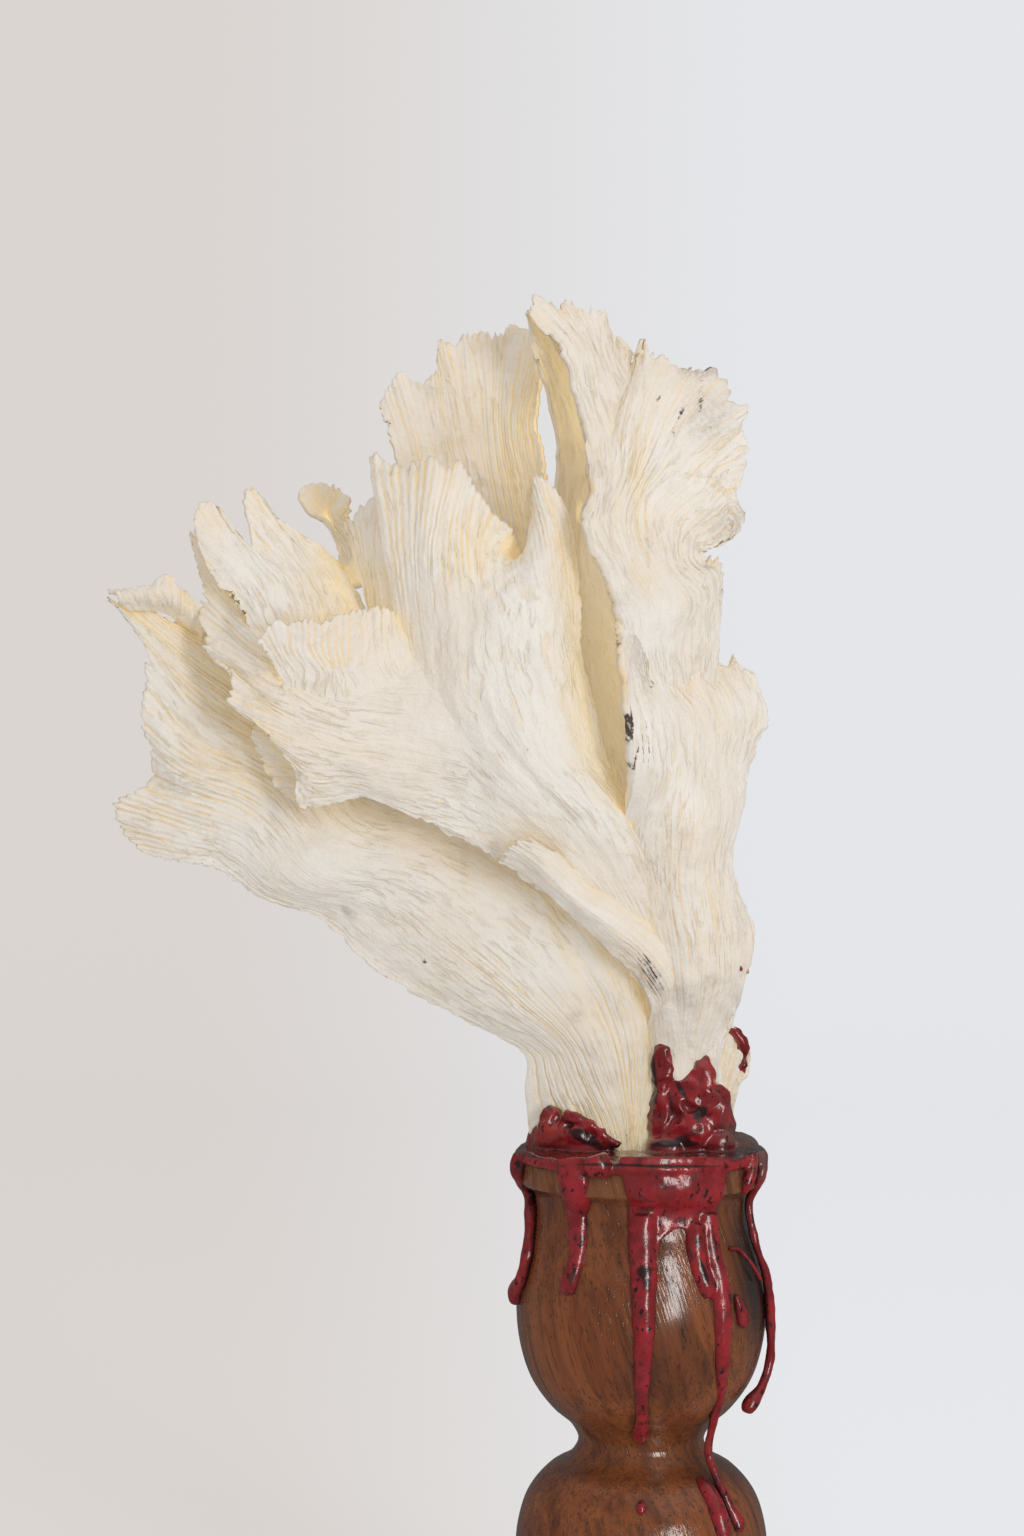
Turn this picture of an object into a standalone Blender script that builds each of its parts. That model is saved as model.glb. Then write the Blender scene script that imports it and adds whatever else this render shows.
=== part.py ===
"""Lettuce coral on a turned wooden stand, set in red wax.

The coral is a bunch of thin fluted plates that fork from two short stems. Every plate
is a sheet lofted through a few hand-laid rows of points, fluted along its length and
given a wall that thins towards the rim. Plates are cut clear of what carries them.

Lengths in the tables are millimetres. +X is right, +Y is away from the front, +Z is up,
and the origin is the centre of the stand's foot.
"""

import bmesh
import bpy
import numpy as np
from math import cos, pi, radians, sin, sqrt

MM = 0.001

# ---- stand -------------------------------------------------------------------------
STAND_TOP = 186.8
RIM_RADIUS = 38.8
RIM_BAND = 8.4  # height of the band under the rim
BULB_RADIUS = 39.9
UPPER_BULB_Z = 138.0
BULB_STEP = 76.0  # from the middle of the upper bulb to the middle of the lower one
NECK_RADIUS = 20.0
FOOT_RADIUS = 56.0
FOOT_EDGE = 9.0
TURNED_SIDES = 22

# ---- wax ---------------------------------------------------------------------------
WAX_TOP = 190.0
WAX_RADIUS = 40.4
WAX_LIP = 4.6  # how far the cap comes down over the rim
RUN_SIDES = 6

# ---- coral -------------------------------------------------------------------------
CORAL_FLOOR = WAX_TOP + 0.35  # the stems are cut flat here
CLEARANCE = 0.45  # how far a neighbour is swollen before it cuts a piece
FLAT_ANGLE = 2.0  # faces this close to level with each other are joined

# The plates' points are laid out on the lines of sight from this spot: x and z are
# where a point shows on the plane through the stand's axis, and y is its depth there,
# before the bunch opens. Above OPEN_FROM the depths spread, up to OPENING times at OPEN_TO.
EYE_X, EYE_DISTANCE, EYE_Z = -41.3, 956.0, 311.3
OPEN_FROM, OPEN_TO, OPENING = 215.0, 330.0, 1.9

# rows: lines of points across the plate, from the root to the rim.
# wall: (share of the length, thickness). cells: faces across and along the plate.
# flute: height of the flutes at the rim. cut_by: the nodes that the plate stays clear of.
PLATES = {
    "lower_frond": {
        "rows": [
            [(-31, 9, 186), (-20, 2, 186), (-8, -1, 186), (1, 1, 186), (5, 9, 186)],
            [(-34, 9, 205), (-22, 1, 205), (-9, -3, 206), (1, 0, 206), (6, 8, 205)],
            [(-36, 7, 221.5), (-24, -2, 223), (-12, -5, 225), (-3, -3, 226), (4, 5, 223)],
            [(-57, 4, 232.4), (-38, -5, 238), (-21, -6, 243), (-7, -4, 246), (6, 2, 243)],
            [(-83, 0, 247), (-62, -8, 254), (-42, -9, 262), (-23, -6, 268), (-6, 1, 267)],
            [(-104, -4, 265), (-86, -11, 272), (-70, -11, 281), (-62, -6, 287), (-46, 1, 288)],
            [(-121, -7, 270.5), (-109, -14, 277), (-98, -14, 286), (-88, -10, 295), (-78, -3, 288.5)],
            [(-137, -9, 280), (-128, -14, 290), (-118, -14, 306), (-106, -8, 318), (-95, 0, 322)],
            [(-150, -10, 281), (-147, -14, 297), (-143, -16, 318), (-135, -12, 338), (-120, -4, 346)],
            [(-158, -10, 283), (-164, -10, 288), (-168, -11, 294), (-169.7, -12, 299),
             (-162.5, -13, 304), (-158, -10, 307), (-157.6, -13, 318), (-159.8, -14, 325),
             (-159, -15, 340), (-160.3, -16, 351), (-164, -16, 358), (-171, -16, 366.5),
             (-160, -14, 363), (-151, -12, 359), (-140, -7, 353)],
        ],
        "wall": [(0, 13), (0.2, 7), (0.5, 4.5), (1, 2)], "cells": (17, 9), "flute": 0.8,
        "cut_by": ["trunk"],
    },
    "folded_tip": {
        "rows": [
            [(-164, -15, 363.2), (-158, -15, 363), (-152, -14, 361.6), (-146, -11, 357.5),
             (-139, -8, 350)],
            [(-169, -18, 367), (-159, -19, 367), (-151, -19, 367.5), (-144.5, -16, 363),
             (-138, -12, 356)],
            [(-172, -16, 367.6), (-164.5, -18, 368.8), (-157.6, -18, 370), (-150.6, -18, 373.5),
             (-145.8, -16, 370), (-142, -15, 363), (-137, -12, 360)],
        ],
        "wall": [(0, 2.4), (1, 2)], "cells": (7, 2), "flute": 0.4,
        "cut_by": ["lower_frond"],
    },
    "centre_frond": {
        "rows": [
            [(3, -1, 228), (11, -5, 228), (19, -1, 230)],
            [(3, -6, 238), (9, -9, 240), (16, -7, 243)],
            [(-9, -12, 252), (-2, -13, 255), (5, -12, 258), (10, -9, 260)],
            [(-22, -16, 264), (-12, -17, 270), (-2, -17, 276), (8, -13, 282)],
            [(-41, -18, 279), (-28, -21, 289), (-14, -22, 297), (-6, -17, 303)],
            [(-55, -17, 288), (-44, -22, 304), (-30, -25, 317), (-14, -19, 325)],
            [(-70, -15, 297), (-60, -21, 322), (-43, -25, 338), (-30, -25, 344), (-19, -18, 345)],
            [(-82, -11, 338), (-70, -20, 350), (-52, -24, 361), (-34, -25, 366), (-20, -18, 366)],
            [(-90, -8, 374), (-76, -18, 380), (-58, -21, 383), (-43, -18, 377), (-30, -21, 384),
             (-21.5, -17, 385)],
            [(-96, -3, 389), (-90, -6, 395), (-84, -9, 400), (-85.5, -10, 413), (-79, -12, 411.5),
             (-75.7, -13, 409.5), (-65.6, -15, 412), (-57.3, -14, 410), (-54, -14, 402),
             (-49, -14, 394.4), (-42.6, -13, 388), (-36, -10, 379), (-35, -14, 390),
             (-33.4, -17, 406.4), (-28.8, -17, 402.5), (-25, -17, 397)],
        ],
        "wall": [(0, 11), (0.15, 7), (0.5, 5), (1, 2)], "cells": (18, 10), "flute": 0.8,
        "cut_by": ["trunk", "lower_frond", "folded_tip"],
    },
    "front_fold": {
        "rows": [
            [(4, -9, 236), (9, -12, 241), (12, -11, 249)],
            [(-3, -14, 246.5), (2, -19, 252), (6, -21, 255)],
            [(-13, -18, 257.5), (-9, -23, 260.5), (-5, -26, 263)],
            [(-25, -21, 267.5), (-23, -26, 269.5), (-21.5, -29, 271.5)],
            [(-37, -22, 277.5), (-34, -27, 280), (-31, -30, 283.5)],
            [(-46, -22, 281.5), (-43.5, -26, 285), (-41, -29, 287.5), (-37.5, -30, 289.5)],
        ],
        "wall": [(0, 5), (1, 2)], "cells": (4, 6), "flute": 0.4,
        "cut_by": ["trunk", "lower_frond", "centre_frond"],
    },
    "left_frond": {
        "rows": [
            [(-50, -18, 291), (-56, -21, 307), (-64, -20, 326), (-72, -17, 342), (-78, -12, 353)],
            [(-70, -20, 296), (-76, -25, 310), (-82, -24, 326), (-88, -19, 338), (-92, -11, 352)],
            [(-88, -22, 298.5), (-95, -28, 313), (-100, -26, 328), (-103, -20, 340),
             (-106, -11, 356)],
            [(-100, -23, 298.5), (-108, -28, 315), (-116, -27, 330), (-118, -21, 343),
             (-124, -11, 364)],
            [(-108, -23, 297), (-111, -24, 302), (-110.5, -25, 308), (-114, -26, 316),
             (-119, -27, 322), (-126, -27, 326.5), (-134.4, -26, 335.5), (-131.5, -24, 343),
             (-137.4, -21, 347), (-142, -19, 352), (-142, -16, 360), (-141.5, -14, 370),
             (-143, -12, 380), (-145.5, -10, 390), (-140, -9, 384), (-134, -9, 377)],
        ],
        "wall": [(0, 5), (1, 2)], "cells": (15, 6), "flute": 0.8,
        "cut_by": ["centre_frond", "lower_frond", "folded_tip", "front_fold"],
    },
    "under_lip": {
        "rows": [
            [(-103, -18, 302), (-106, -19, 310), (-113, -19, 321)],
            [(-111, -18.5, 300), (-116, -18.5, 304), (-120, -19, 309), (-124, -19, 317),
             (-128, -20, 323), (-124, -21, 327)],
        ],
        "wall": [(0, 2.2), (1, 1.8)], "cells": (5, 2), "flute": 0.3,
        "cut_by": ["lower_frond", "left_frond"],
    },
    "left_lip": {
        "rows": [
            [(-111, -21, 341), (-100, -22, 339), (-88, -22, 338), (-76, -19, 345)],
            [(-117, -27, 347), (-104, -29, 349), (-90, -27, 350), (-77, -21, 353)],
            [(-124, -30, 352), (-119.6, -32, 357.6), (-112, -33, 359.7), (-100, -33, 360),
             (-92, -31, 362.4), (-85.5, -27, 363.5), (-79, -22, 360)],
        ],
        "wall": [(0, 3.4), (1, 2)], "cells": (8, 3), "flute": 0.6,
        "cut_by": ["centre_frond", "left_frond"],
    },
    "finger_frond": {
        "rows": [
            [(-117, -18, 348), (-106, -18, 345), (-95, -14, 346), (-84, -8, 351)],
            [(-126, -20, 357), (-112, -20, 358), (-100, -15, 358), (-89, -6, 362)],
            [(-135, -19, 369), (-126, -19, 371), (-116, -18, 371), (-104, -11, 370), (-95, -3, 373)],
            [(-137, -19, 372), (-140, -19, 378), (-143, -18, 387), (-143, -17, 394),
             (-140, -16, 397), (-136.7, -16, 396), (-133.5, -17, 391), (-130, -17, 386.5),
             (-125.5, -17, 382), (-127, -15, 394), (-127.7, -13, 400), (-125, -12, 401.3),
             (-120.7, -12, 398), (-115.4, -12, 390.6), (-110, -10, 386.4), (-104, -7, 383),
             (-97, -2, 377.5), (-94, 0, 375)],
        ],
        "wall": [(0, 3.4), (1, 1.8)], "cells": (14, 4), "flute": 0.6,
        "cut_by": ["centre_frond", "left_frond", "left_lip"],
    },
    "curled_tip": {
        "rows": [
            [(-98, 0, 370), (-93, -3, 369), (-85, -8, 372)],
            [(-97, 3, 380), (-92, 1, 380), (-87, -4, 382)],
            [(-100, 5, 388), (-96, 4, 387), (-90, -2, 388)],
            [(-107, 5, 393), (-101, 7, 393), (-94, 1, 392)],
            [(-110.5, 3, 399), (-107, 5, 402), (-100.5, 7, 403), (-96.8, 5, 401.3),
             (-93, 1, 397), (-93, -1, 393.5)],
        ],
        "wall": [(0, 3), (1, 1.8)], "cells": (4, 5), "flute": 0.2,
        "cut_by": ["centre_frond", "finger_frond"],
    },
    "back_frond": {
        "rows": [
            [(2, 6, 226), (10, 12, 226), (20, 12, 228)],
            [(-2, 2, 256), (8, 9, 256), (18, 11, 256)],
            [(-14, -2, 290), (2, 6, 290), (19, 10, 290)],
            [(-26, -4, 320), (-10, 3, 322), (8, 11, 322), (22, 16, 322)],
            [(-33, -3, 360), (-18, 1, 362), (-2, 9, 362), (14, 16, 360)],
            [(-28, -3, 396), (-20, 0, 397), (-10, 6, 398), (4, 12, 396)],
            [(-27, -4, 411), (-20, -2, 413), (-10, 3, 414), (0, 8, 412)],
            [(-30, -6, 429), (-24, -4, 432), (-16, 0, 432), (-8, 4, 430)],
            [(-33, -8, 441), (-36.5, -10, 455), (-37.5, -11, 460), (-35, -11, 462),
             (-32, -10, 455), (-27, -8, 450), (-20, -4, 446), (-14, 0, 442)],
        ],
        "wall": [(0, 9), (0.2, 6), (1, 2)], "cells": (8, 8), "flute": 0.6,
        "cut_by": ["trunk", "lower_frond", "centre_frond"],
    },
    "crest_frond": {
        "rows": [
            [(-54, -8, 334), (-44, -6, 335), (-34, -4, 338)],
            [(-66, -4, 372), (-50, 0, 372), (-38, 0, 374), (-31, -5, 378)],
            [(-76, 0, 398), (-58, 3, 398), (-42, 1, 396), (-30, -6, 403)],
            [(-81, 2, 416), (-62, 3, 417), (-46, 4, 418), (-33, -2, 420)],
            [(-84, 4, 427), (-80, 4, 435.6), (-77, 4, 438.6), (-74, 4, 437), (-66, 3, 438),
             (-65.5, 3, 446), (-65, 3, 448.5), (-60, 4, 450), (-52.6, 4, 452), (-47.3, 4, 453.7),
             (-38.7, 2, 453), (-34, -1, 451), (-31.7, -3, 438)],
        ],
        "wall": [(0, 5), (1, 2)], "cells": (13, 6), "flute": 0.8,
        "cut_by": ["centre_frond", "back_frond", "finger_frond", "curled_tip"],
    },
    "right_frond": {
        "rows": [
            [(10, 2, 222), (16, 0, 222), (22, 3, 222)],
            [(12, -5, 240), (18, -9, 239), (24, -6, 239), (30, 0, 240)],
            [(10, -12, 258), (16, -14, 258), (25, -10, 257), (35, -2, 257)],
            [(11, -14, 276), (17, -17, 277), (22, -12, 277), (28, -2, 276)],
            [(11, -18, 295), (16, -19, 296), (24, -12, 297), (30, -1, 297)],
            [(-3.5, -28, 309), (5, -24, 310), (14, -17, 312), (24, -8, 312), (34.5, 2, 315)],
            [(-4.5, -30, 324), (3, -25, 327), (12, -16, 328), (24, -6, 328), (40, 6, 327)],
            [(-7.5, -30, 344), (-2, -25, 343), (5, -15, 342), (16, -8, 340), (26, 0, 341),
             (37, 5, 338)],
            [(-8.5, -28, 364), (-2, -21, 368), (4, -14, 370), (10, -11, 374), (16, -8, 378),
             (22, -5, 380), (26, -3, 379), (26, 0, 369.5), (23.3, 2, 361), (20, 3, 351),
             (23, 4, 345.6), (26.4, 4, 344), (29.6, 5, 348.3), (31, 5, 343), (36, 5, 340)],
        ],
        "wall": [(0, 10), (0.2, 7), (0.5, 4.5), (1, 2)], "cells": (13, 9), "flute": 0.8,
        "cut_by": ["trunk", "centre_frond", "front_fold", "back_frond"],
    },
    "upper_frond": {
        "rows": [
            [(-8, -23, 360), (0, -15, 358), (9, -10, 360)],
            [(-13, -26, 375), (-5, -19, 377), (4, -14, 377), (13, -11, 374)],
            [(-19.5, -25, 388), (-10, -18, 391), (1, -13, 393), (12, -11, 388), (19, -9, 380)],
            [(-17, -22, 400), (-10, -16, 405), (1, -12, 409), (13, -10, 405), (22, -8, 394),
             (24, -8, 382)],
            [(-17.5, -18, 411), (-11, -14, 419), (0, -11, 427), (15, -8, 424), (26, -6, 410),
             (29.5, -5, 396), (28, -6, 385)],
            [(-20, -16, 420), (-13, -14, 428), (-5, -12, 438), (0.5, -11, 445), (1.7, -11, 451),
             (3, -11, 445), (8.4, -10, 444), (12.6, -9, 439.7), (17, -8, 440), (23.3, -7, 441.4),
             (29, -6, 435.5), (33, -6, 434), (33, -5, 431), (37, -5, 430), (33.5, -5, 423),
             (34.4, -4, 415), (33, -3, 405), (30.5, -4, 397), (34, -4, 389.7), (28, -6, 383.5),
             (22, -8, 381)],
        ],
        "wall": [(0, 4.5), (1, 2)], "cells": (16, 6), "flute": 0.8,
        "cut_by": ["centre_frond", "back_frond", "right_frond", "crest_frond"],
    },
    "top_fold": {
        "rows": [
            [(-16, -15, 413), (-11, -12, 415), (-4, -8, 417)],
            [(-21.6, -14, 430), (-16, -11, 432), (-8, -8, 432), (0, -6, 432)],
            [(-27, -13, 446), (-20, -9, 447), (-12, -6, 445), (-4, -5, 442)],
            [(-33, -13, 452), (-36.6, -13, 459), (-35.5, -12, 463), (-30.6, -10, 463),
             (-29, -9, 459), (-23.7, -7, 461.7), (-20.5, -6, 459), (-11.5, -5, 459),
             (-10.4, -5, 454.6), (-4.5, -5, 447), (0, -6, 441)],
        ],
        "wall": [(0, 3), (1, 1.8)], "cells": (10, 4), "flute": 0.6,
        "cut_by": ["back_frond", "upper_frond", "crest_frond"],
    },
    "side_flap": {
        "rows": [
            [(19, 14, 186), (25, 15, 186), (30, 15, 186)],
            [(19, 13, 205), (25, 12, 205), (33, 12, 209)],
            [(20, 10, 228), (24.5, 9, 231), (28.6, 10, 228), (33, 11, 224.5), (35, 12, 220),
             (34.5, 12, 213)],
        ],
        "wall": [(0, 5), (1, 2.4)], "cells": (5, 4), "flute": 0.4,
        "cut_by": ["trunk", "right_frond", "back_frond"],
    },
}


# ---- geometry of a sheet -------------------------------------------------------------
def along_sight(point):
    """True place of a point that is laid out on its line of sight."""
    x, y, z = point
    risen = min(max((z - OPEN_FROM) / (OPEN_TO - OPEN_FROM), 0), 1)
    y *= 1 + (OPENING - 1) * risen * risen * (3 - 2 * risen)
    scale = (EYE_DISTANCE + y) / EYE_DISTANCE
    return EYE_X + (x - EYE_X) * scale, y, EYE_Z + (z - EYE_Z) * scale


def smooth(knots, values, places):
    """Smooth curve through values at knots, read at places."""
    slopes = np.gradient(values, knots, axis=0)
    index = np.clip(np.searchsorted(knots, places, side="right") - 1, 0, len(knots) - 2)
    step = (knots[index + 1] - knots[index])[:, None]
    u = (places - knots[index])[:, None] / step
    low, high = values[index], values[index + 1]
    bend = (2 * u**3 - 3 * u**2 + 1) * low + (3 * u**2 - 2 * u**3) * high
    return bend + step * ((u**3 - 2 * u**2 + u) * slopes[index] + (u**3 - u**2) * slopes[index + 1])


def running_length(points):
    """Share of the line's length at each of its points."""
    length = np.concatenate([[0], np.cumsum(np.linalg.norm(np.diff(points, axis=0), axis=1))])
    return length / length[-1]


def loft(rows, across, along):
    """Grid of points [along, across] on the smooth sheet through rows of true points."""
    lines = []
    for row in rows:
        points = np.array(row, dtype=float)
        knots = running_length(points) if len(points) > 4 else np.linspace(0, 1, len(points))
        lines.append(smooth(knots, points, across))
    lines = np.array(lines)
    middle = running_length(lines.mean(axis=1))
    flat = smooth(middle, lines.reshape(len(rows), -1), along)
    return flat.reshape(len(along), len(across), 3)


def sheet(rows, across, along):
    """The loft through rows that are laid out on their lines of sight."""
    return loft([[along_sight(point) for point in row] for row in rows], across, along)


def sheet_normals(grid):
    """Unit normals of a grid of points."""
    along = np.gradient(grid, axis=0)
    across = np.gradient(grid, axis=1)
    normals = np.cross(across, along)
    return normals / np.maximum(np.linalg.norm(normals, axis=2, keepdims=True), 1e-9)


# ---- making objects ------------------------------------------------------------------
def material(name, colour, roughness):
    finish = bpy.data.materials.new(name)
    finish.use_nodes = True
    shader = finish.node_tree.nodes["Principled BSDF"]
    shader.inputs["Base Color"].default_value = (*colour, 1)
    shader.inputs["Roughness"].default_value = roughness
    shader.inputs["Metallic"].default_value = 0.0
    return finish


def collection(name):
    group = bpy.data.collections.new(name)
    bpy.context.scene.collection.children.link(group)
    return group


def place(name, mesh, group, finish=None):
    piece = bpy.data.objects.new(name, mesh)
    group.objects.link(piece)
    if finish:
        mesh.materials.clear()
        mesh.materials.append(finish)
    return piece


def settle(piece):
    """Give the piece its evaluated mesh, and drop the crumbs that a cut leaves loose."""
    bpy.context.view_layer.update()
    evaluated = piece.evaluated_get(bpy.context.evaluated_depsgraph_get())
    mesh = bpy.data.meshes.new_from_object(evaluated)
    piece.modifiers.clear()
    work = bmesh.new()
    work.from_mesh(mesh)
    islands = []
    left = set(work.verts)
    while left:
        front = [left.pop()]
        island = set(front)
        while front:
            for edge in front.pop().link_edges:
                for corner in edge.verts:
                    if corner in left:
                        left.remove(corner)
                        island.add(corner)
                        front.append(corner)
        islands.append(island)
    islands.sort(key=len, reverse=True)
    for crumb in islands[1:]:
        bmesh.ops.delete(work, geom=list(crumb), context="VERTS")
    bmesh.ops.dissolve_limit(work, angle_limit=radians(FLAT_ANGLE), verts=work.verts, edges=work.edges)
    bmesh.ops.triangulate(work, faces=work.faces)
    work.to_mesh(mesh)
    work.free()
    piece.data = mesh


def swollen(piece, cutters, by=CLEARANCE):
    """A cutter the shape of a piece, swollen all round by a clearance."""
    cutter = hide(place(piece.name + "_clear", piece.data.copy(), cutters))
    grow = cutter.modifiers.new("grow", "DISPLACE")
    grow.strength = by * MM
    grow.mid_level = 0.0
    return cutter


def cut(piece, cutter, operation="DIFFERENCE"):
    boolean = piece.modifiers.new("cut", "BOOLEAN")
    boolean.operation = operation
    boolean.solver = "MANIFOLD"  # thin fluted walls come out open from the exact solver
    boolean.object = cutter


def hide(helper):
    helper.hide_render = True
    helper.display_type = "WIRE"
    return helper


def plate(name, spec, group, finish):
    """A fluted plate: a grid shaped into the sheet, then given its wall."""
    columns, lines = spec["cells"]
    work = bmesh.new()
    bmesh.ops.create_grid(work, x_segments=columns, y_segments=lines, size=0.5)
    mesh = bpy.data.meshes.new(name)
    work.to_mesh(mesh)
    work.free()

    across = np.linspace(0, 1, columns + 1)
    along = np.linspace(0, 1, lines + 1)
    grid = sheet(spec["rows"], across, along)
    flutes = np.cos(pi * np.arange(columns + 1))
    rise = spec["flute"] * np.minimum(1, 0.25 + along)[:, None] * flutes[None, :]
    grid = grid + sheet_normals(grid) * rise[:, :, None]

    walls = np.array(spec["wall"], dtype=float)
    widest = walls[:, 1].max()
    piece = place(name, mesh, group, finish)
    weights = piece.vertex_groups.new(name="wall")
    for vertex in mesh.vertices:
        column = round((vertex.co.x + 0.5) * columns)
        line = round((vertex.co.y + 0.5) * lines)
        vertex.co = grid[line, column] * MM
        thickness = np.interp(along[line], walls[:, 0], walls[:, 1])
        weights.add([vertex.index], thickness / widest, "REPLACE")
    wall = piece.modifiers.new("wall", "SOLIDIFY")
    wall.thickness = widest * MM
    wall.offset = 0
    wall.vertex_group = "wall"
    return piece


def turned(name, profile, group, finish=None, sides=TURNED_SIDES):
    """A solid turned from its outer side, listed top to bottom as (radius, z)."""
    mesh = bpy.data.meshes.new(name)
    points = [(radius * MM, 0, z * MM) for radius, z in profile]
    mesh.from_pydata(points, [(i, i + 1) for i in range(len(points) - 1)], [])
    piece = place(name, mesh, group, finish)
    screw = piece.modifiers.new("turn", "SCREW")
    screw.steps = sides
    screw.render_steps = sides
    screw.use_merge_vertices = True
    screw.merge_threshold = 0.00001
    return piece


# ---- the turned stand ----------------------------------------------------------------
def stand_profile():
    """The stand's outline as (radius, z), from the middle of its top to its foot."""
    band_low = STAND_TOP - RIM_BAND
    upper_neck_z = UPPER_BULB_Z - 41
    lower_bulb_z = UPPER_BULB_Z - BULB_STEP
    top = [(0, STAND_TOP), (RIM_RADIUS, STAND_TOP), (RIM_RADIUS, band_low + 1.2),
           (RIM_RADIUS - 1.6, band_low), (34.2, band_low - 3)]
    upper_bulb = [(37, 160), (39.2, 149), (BULB_RADIUS, UPPER_BULB_Z), (38.6, 127),
                  (35.3, 117), (28.5, 107.5), (21.6, 101.5)]
    lower_bulb = [(NECK_RADIUS, upper_neck_z), (22.2, 92.6), (29.5, 88), (36.3, 80), (39.3, 71),
                  (BULB_RADIUS + 0.3, lower_bulb_z), (38, 49), (31, 37)]
    foot = [(23, 28), (25.5, 22.5), (38, 16.5), (FOOT_RADIUS - 2, FOOT_EDGE + 2),
            (FOOT_RADIUS, FOOT_EDGE - 1), (FOOT_RADIUS, 1.6), (FOOT_RADIUS - 1.6, 0), (0, 0)]
    return top + upper_bulb + lower_bulb + foot


def on_stand(x, z, lift):
    """The spot in front on the stand's surface that shows at (x, z), lifted off the wood."""
    outline = np.array([point for point in stand_profile() if point[0] > 0])
    y = 0.0
    for _ in range(12):
        true_x, _, true_z = along_sight((x, y, z))
        radius = np.interp(-true_z, -outline[:, 1], outline[:, 0]) + lift
        y = -sqrt(max(radius**2 - true_x**2, 0.0))
    reach = sqrt(true_x**2 + y**2) / radius
    return true_x / reach, y / reach, true_z


def make_stand(group):
    wood = material("walnut", (0.27, 0.115, 0.05), 0.35)
    stand = turned("stand", stand_profile(), group, wood)
    settle(stand)
    return stand


# ---- the wax -------------------------------------------------------------------------
# Each run of wax is a line of (x, z, half its width) down the front of the stand, laid
# out on lines of sight as the coral is. A point that hangs clear of the wood gives its y.
RUNS = {
    "left_edge": [(-38, 188, 2.4), (-39.2, 182, 2.2), (-36.4, 175.5, 1.9), (-34.8, 167, 1.6),
                  (-36, 156, 1.5), (-38.2, 147, 1.8), (-40, 142.5, 2.7), (-40.2, 140.5, 1.4)],
    "left_front": [(-21, 186, 6.6), (-20.5, 178, 6), (-20, 171, 4), (-19.8, 162, 3.4),
                   (-20.6, 153, 2.8), (-22.6, 145.5, 3), (-23, 142.6, 1.6)],
    "left_leg": [(0.6, 168, 5), (0.6, 158, 4.6), (0.8, 145, 4.3), (0.8, 130, 3.4), (0.3, 115, 2.5),
                 (0.3, 104, 2.1), (-0.1, 98.5, 3), (-0.2, 95.8, 1.6)],
    "short_leg": [(15.5, 164, 3), (16, 156, 2.7), (18, 149, 2.6), (20.4, 144, 2.8), (21, 141.4, 1.5)],
    "right_leg": [(20.3, 168, 4.4), (22.2, 157, 3.2), (24.6, 147, 3.6), (25.4, 135, 3.7),
                  (25.6, 120, 2.8), (24.8, 109, 1.9, -23), (22.8, 101, 1.4, -21),
                  (21.6, 92, 1.4, -20), (24, 84.5, 1.3, -22), (28, 75, 1.7), (30.5, 69.8, 2.6),
                  (31, 67, 1.4)],
    "short": [(35.4, 188, 2.2), (35, 182, 2.3), (33.8, 177.5, 2), (32.6, 175, 1.1)],
    "far_right": [(38.6, 188, 2), (38.4, 181, 2), (34.4, 172, 1.5), (36.4, 160, 1.4), (40, 149, 1.5),
                  (41.6, 136, 1.5), (41.4, 123, 1.5), (38.8, 113.5, 1.8), (34.6, 107.5, 2.8),
                  (33.8, 104.8, 1.5)],
}
DROPS = {
    "wax_tear": [(30.3, 142.5, 0.7), (31.2, 139, 1.5), (32.3, 134.6, 2.2), (32.5, 132.4, 1.1)],
    "wax_thread": [(28.2, 157.5, 0.7), (31.4, 157, 0.7), (35.4, 152.5, 0.7), (38.4, 147.4, 0.7)],
    "wax_blob": [(18.6, 84, 1.2), (20.8, 80.3, 2.2), (23, 76, 2.5), (24.6, 71, 2.9), (26, 66, 2.6),
                 (26.6, 62.5, 1.2)],
    "wax_bead": [(0.3, 77, 0.8), (0.1, 74.4, 1.5), (0, 72.4, 0.8)],
}
# The sheet of wax over the band and under it, down to the arch between its two legs.
APRON = [
    [(-6.6, 186), (4, 186), (16, 186), (27.4, 186)],
    [(-6.4, 181), (4, 181), (16, 181), (27, 181)],
    [(-5, 175.5), (4, 175.5), (15, 175.5), (25.6, 175.5)],
    [(-4, 168), (4, 168), (14, 168), (23.6, 168)],
    [(-3.8, 158), (3, 158), (7, 161), (12, 163), (17, 161.5), (19, 159), (24.4, 158)],
]
APRON_WALL = 2.6
# Each mound of wax: centre x, y, its spreads in x and y, and its height above the cap.
RIGHT_MOUND = [(7.5, -5, 5.4, 5.5, 36), (19.5, -5, 4.8, 5.5, 31), (26, -2, 4.6, 6, 15.5),
               (14, -3, 9, 6, 24)]
LEFT_MOUND = [(-28, -4, 5, 5.5, 14), (-18.5, -7, 6.5, 4.5, 10.5), (-10.5, -10, 4, 3.5, 5)]
MOUND_FOOT = (1.0, 2.2)  # how deep a mound's rim and its underside lie in the cap

SET_IN_WAX = ("trunk", "lower_frond", "side_flap", "centre_frond", "right_frond")


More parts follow.
